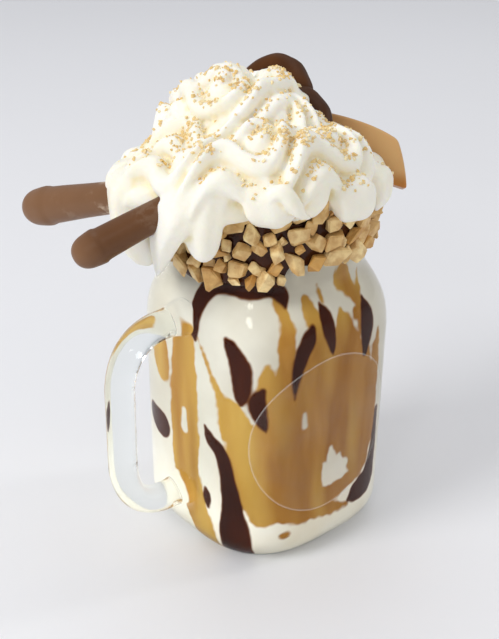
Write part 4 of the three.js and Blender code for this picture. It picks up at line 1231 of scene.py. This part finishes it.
# %% Pretzel
pretzel_chocolate = mottled_material(
    "pretzel_chocolate", ((56, 29, 9), (88, 51, 20), 60, 2), 0.5, 160, 0.0003, Specular_IOR_Level=0.18)
PRETZEL_UNIT, PRETZEL_ROD, PRETZEL_END = 7.6, 4.2, 3.8
PRETZEL_UNEVEN, PRETZEL_LIFT = 0.3, 0.35
PRETZEL_AT = np.array([15.2, 4.1, 158.4])
PRETZEL_ALONG, PRETZEL_UP = np.array([-0.171, -0.864, -0.464]), np.array([0.685, -0.445, 0.576])


def frame_of(along, upward):
    """Three square directions: along, the part of upward square to it, and their cross product."""
    first = unit(along)
    third = unit(np.cross(first, upward))
    return np.stack([first, np.cross(third, first), third], axis=1)


def strand(t):
    """The pretzel's curve: a sine and a cosine that shrink with t squared, lifted where they cross."""
    crossing = smoothstep(2, 2.9, np.abs(t))
    return np.stack([
        PRETZEL_UNIT * (3.3 - 0.4 * t * t) * np.sin(t),
        -PRETZEL_UNIT * (2.5 - 0.3 * t * t) * np.cos(t),
        PRETZEL_LIFT * PRETZEL_ROD * np.sign(t) * crossing,
    ], axis=-1)


middles = strand(np.linspace(-PRETZEL_END, PRETZEL_END, 220))
ahead = unit(np.gradient(middles, axis=0))
beside = unit(np.cross([0, 0, 1], ahead))
rings = tube(middles, 28, PRETZEL_ROD * beside, PRETZEL_ROD * np.cross(ahead, beside))
rings = lumpy(rings, middles, PRETZEL_UNEVEN / PRETZEL_ROD, 11, 15)
rings = rings @ frame_of(PRETZEL_ALONG, PRETZEL_UP).T + PRETZEL_AT
pretzel = make_closed("coated_pretzel", rings, pretzel_chocolate)
settle(pretzel, "chocolate_pretzel")

# %% [markdown]
# ## Caramel fudge
# A cut slab of fudge leans on the cream. Its outline is bowed at the top and cut square at the end.
# The slab is that outline carried through its thickness, with rounded edges. Its colour is painted
# paler towards the upper corner as a painted highlight, is browner below that as painted shade from
# the cream, and turns golden along its foot.

# %% Fudge finish
FUDGE_AT = np.array([42.45, -25.7, 128.6])
FUDGE_ALONG, FUDGE_UP = np.array([0.7557, -0.6549, 0]), np.array([0.2768, 0.3194, 0.9063])
FUDGE_PAINTED_LIGHT, FUDGE_FOOT = srgb(208, 164, 106), srgb(186, 118, 36)
PAINTED_LIGHT_RANGE, FOOT_RANGE = (-0.012, 0.006), (0.001, 0.007)
fudge_finish, tree, shader = new_material(
    "caramel_fudge", 0.36, Subsurface_Weight=0.12, Subsurface_Scale=0.004)


def towards(tree, direction, reach):
    """A mask that goes from 0 to 1 along a direction, over a range in metres from the slab's nose."""
    nose = float(FUDGE_AT @ direction) * MM
    along = vector_node(tree, "DOT_PRODUCT", direction).outputs["Value"]
    return ramp_node(tree, along, nose + reach[0], nose + reach[1])


# The browner body colour is painted shade from the cream, and a painted highlight lightens it towards
# the upper corner.
body = drifting(tree, (160, 108, 52), (184, 134, 74), 70, 2)
corner = FUDGE_UP * 0.6 + FUDGE_ALONG * 0.8
fudge_with_highlight = mix_node(tree, towards(tree, corner, PAINTED_LIGHT_RANGE), body, FUDGE_PAINTED_LIGHT)
fudge_color = mix_node(tree, towards(tree, FUDGE_UP, FOOT_RANGE), FUDGE_FOOT, fudge_with_highlight)
finish_surface(tree, shader, fudge_color, 260, 0.0002)
print("fudge finish:", fudge_finish.name)

# %% Fudge
FUDGE_THICK, FUDGE_ROUND, FUDGE_SHARPEST = 10, 1.6, 35
NOTCH, HEEL, NOSE = (-11, 9.5), (-6.5, 2), (0, 0)
BROW, PEAK, TAIL = (-3.5, 17.4), (-34, 27.5), (-33, 17.5)
FRONT_BEND, TOP_BEND = (-0.4, 9), (-14, 24.5)
front = bowed(NOSE, FRONT_BEND, BROW, np.linspace(0, 1, 10, endpoint=False))
top = bowed(BROW, TOP_BEND, PEAK, np.linspace(0, 1, 14, endpoint=False))
outline = np.concatenate([[NOTCH, HEEL], front, top, [PEAK, TAIL]])
slab = np.stack([np.insert(outline, 2, depth, axis=1) for depth in (-FUDGE_THICK, 0)])
slab = slab @ frame_of(FUDGE_ALONG, FUDGE_UP).T + FUDGE_AT
fudge = make_closed("fudge_slab", slab, fudge_finish)
edges = fudge.modifiers.new("soft_edges", "BEVEL")
edges.width = FUDGE_ROUND * MM
edges.segments = 4
edges.limit_method = "ANGLE"
edges.angle_limit = np.radians(FUDGE_SHARPEST)
edges.harden_normals = True
bake_modifiers(fudge)
settle(fudge, "caramel_fudge")
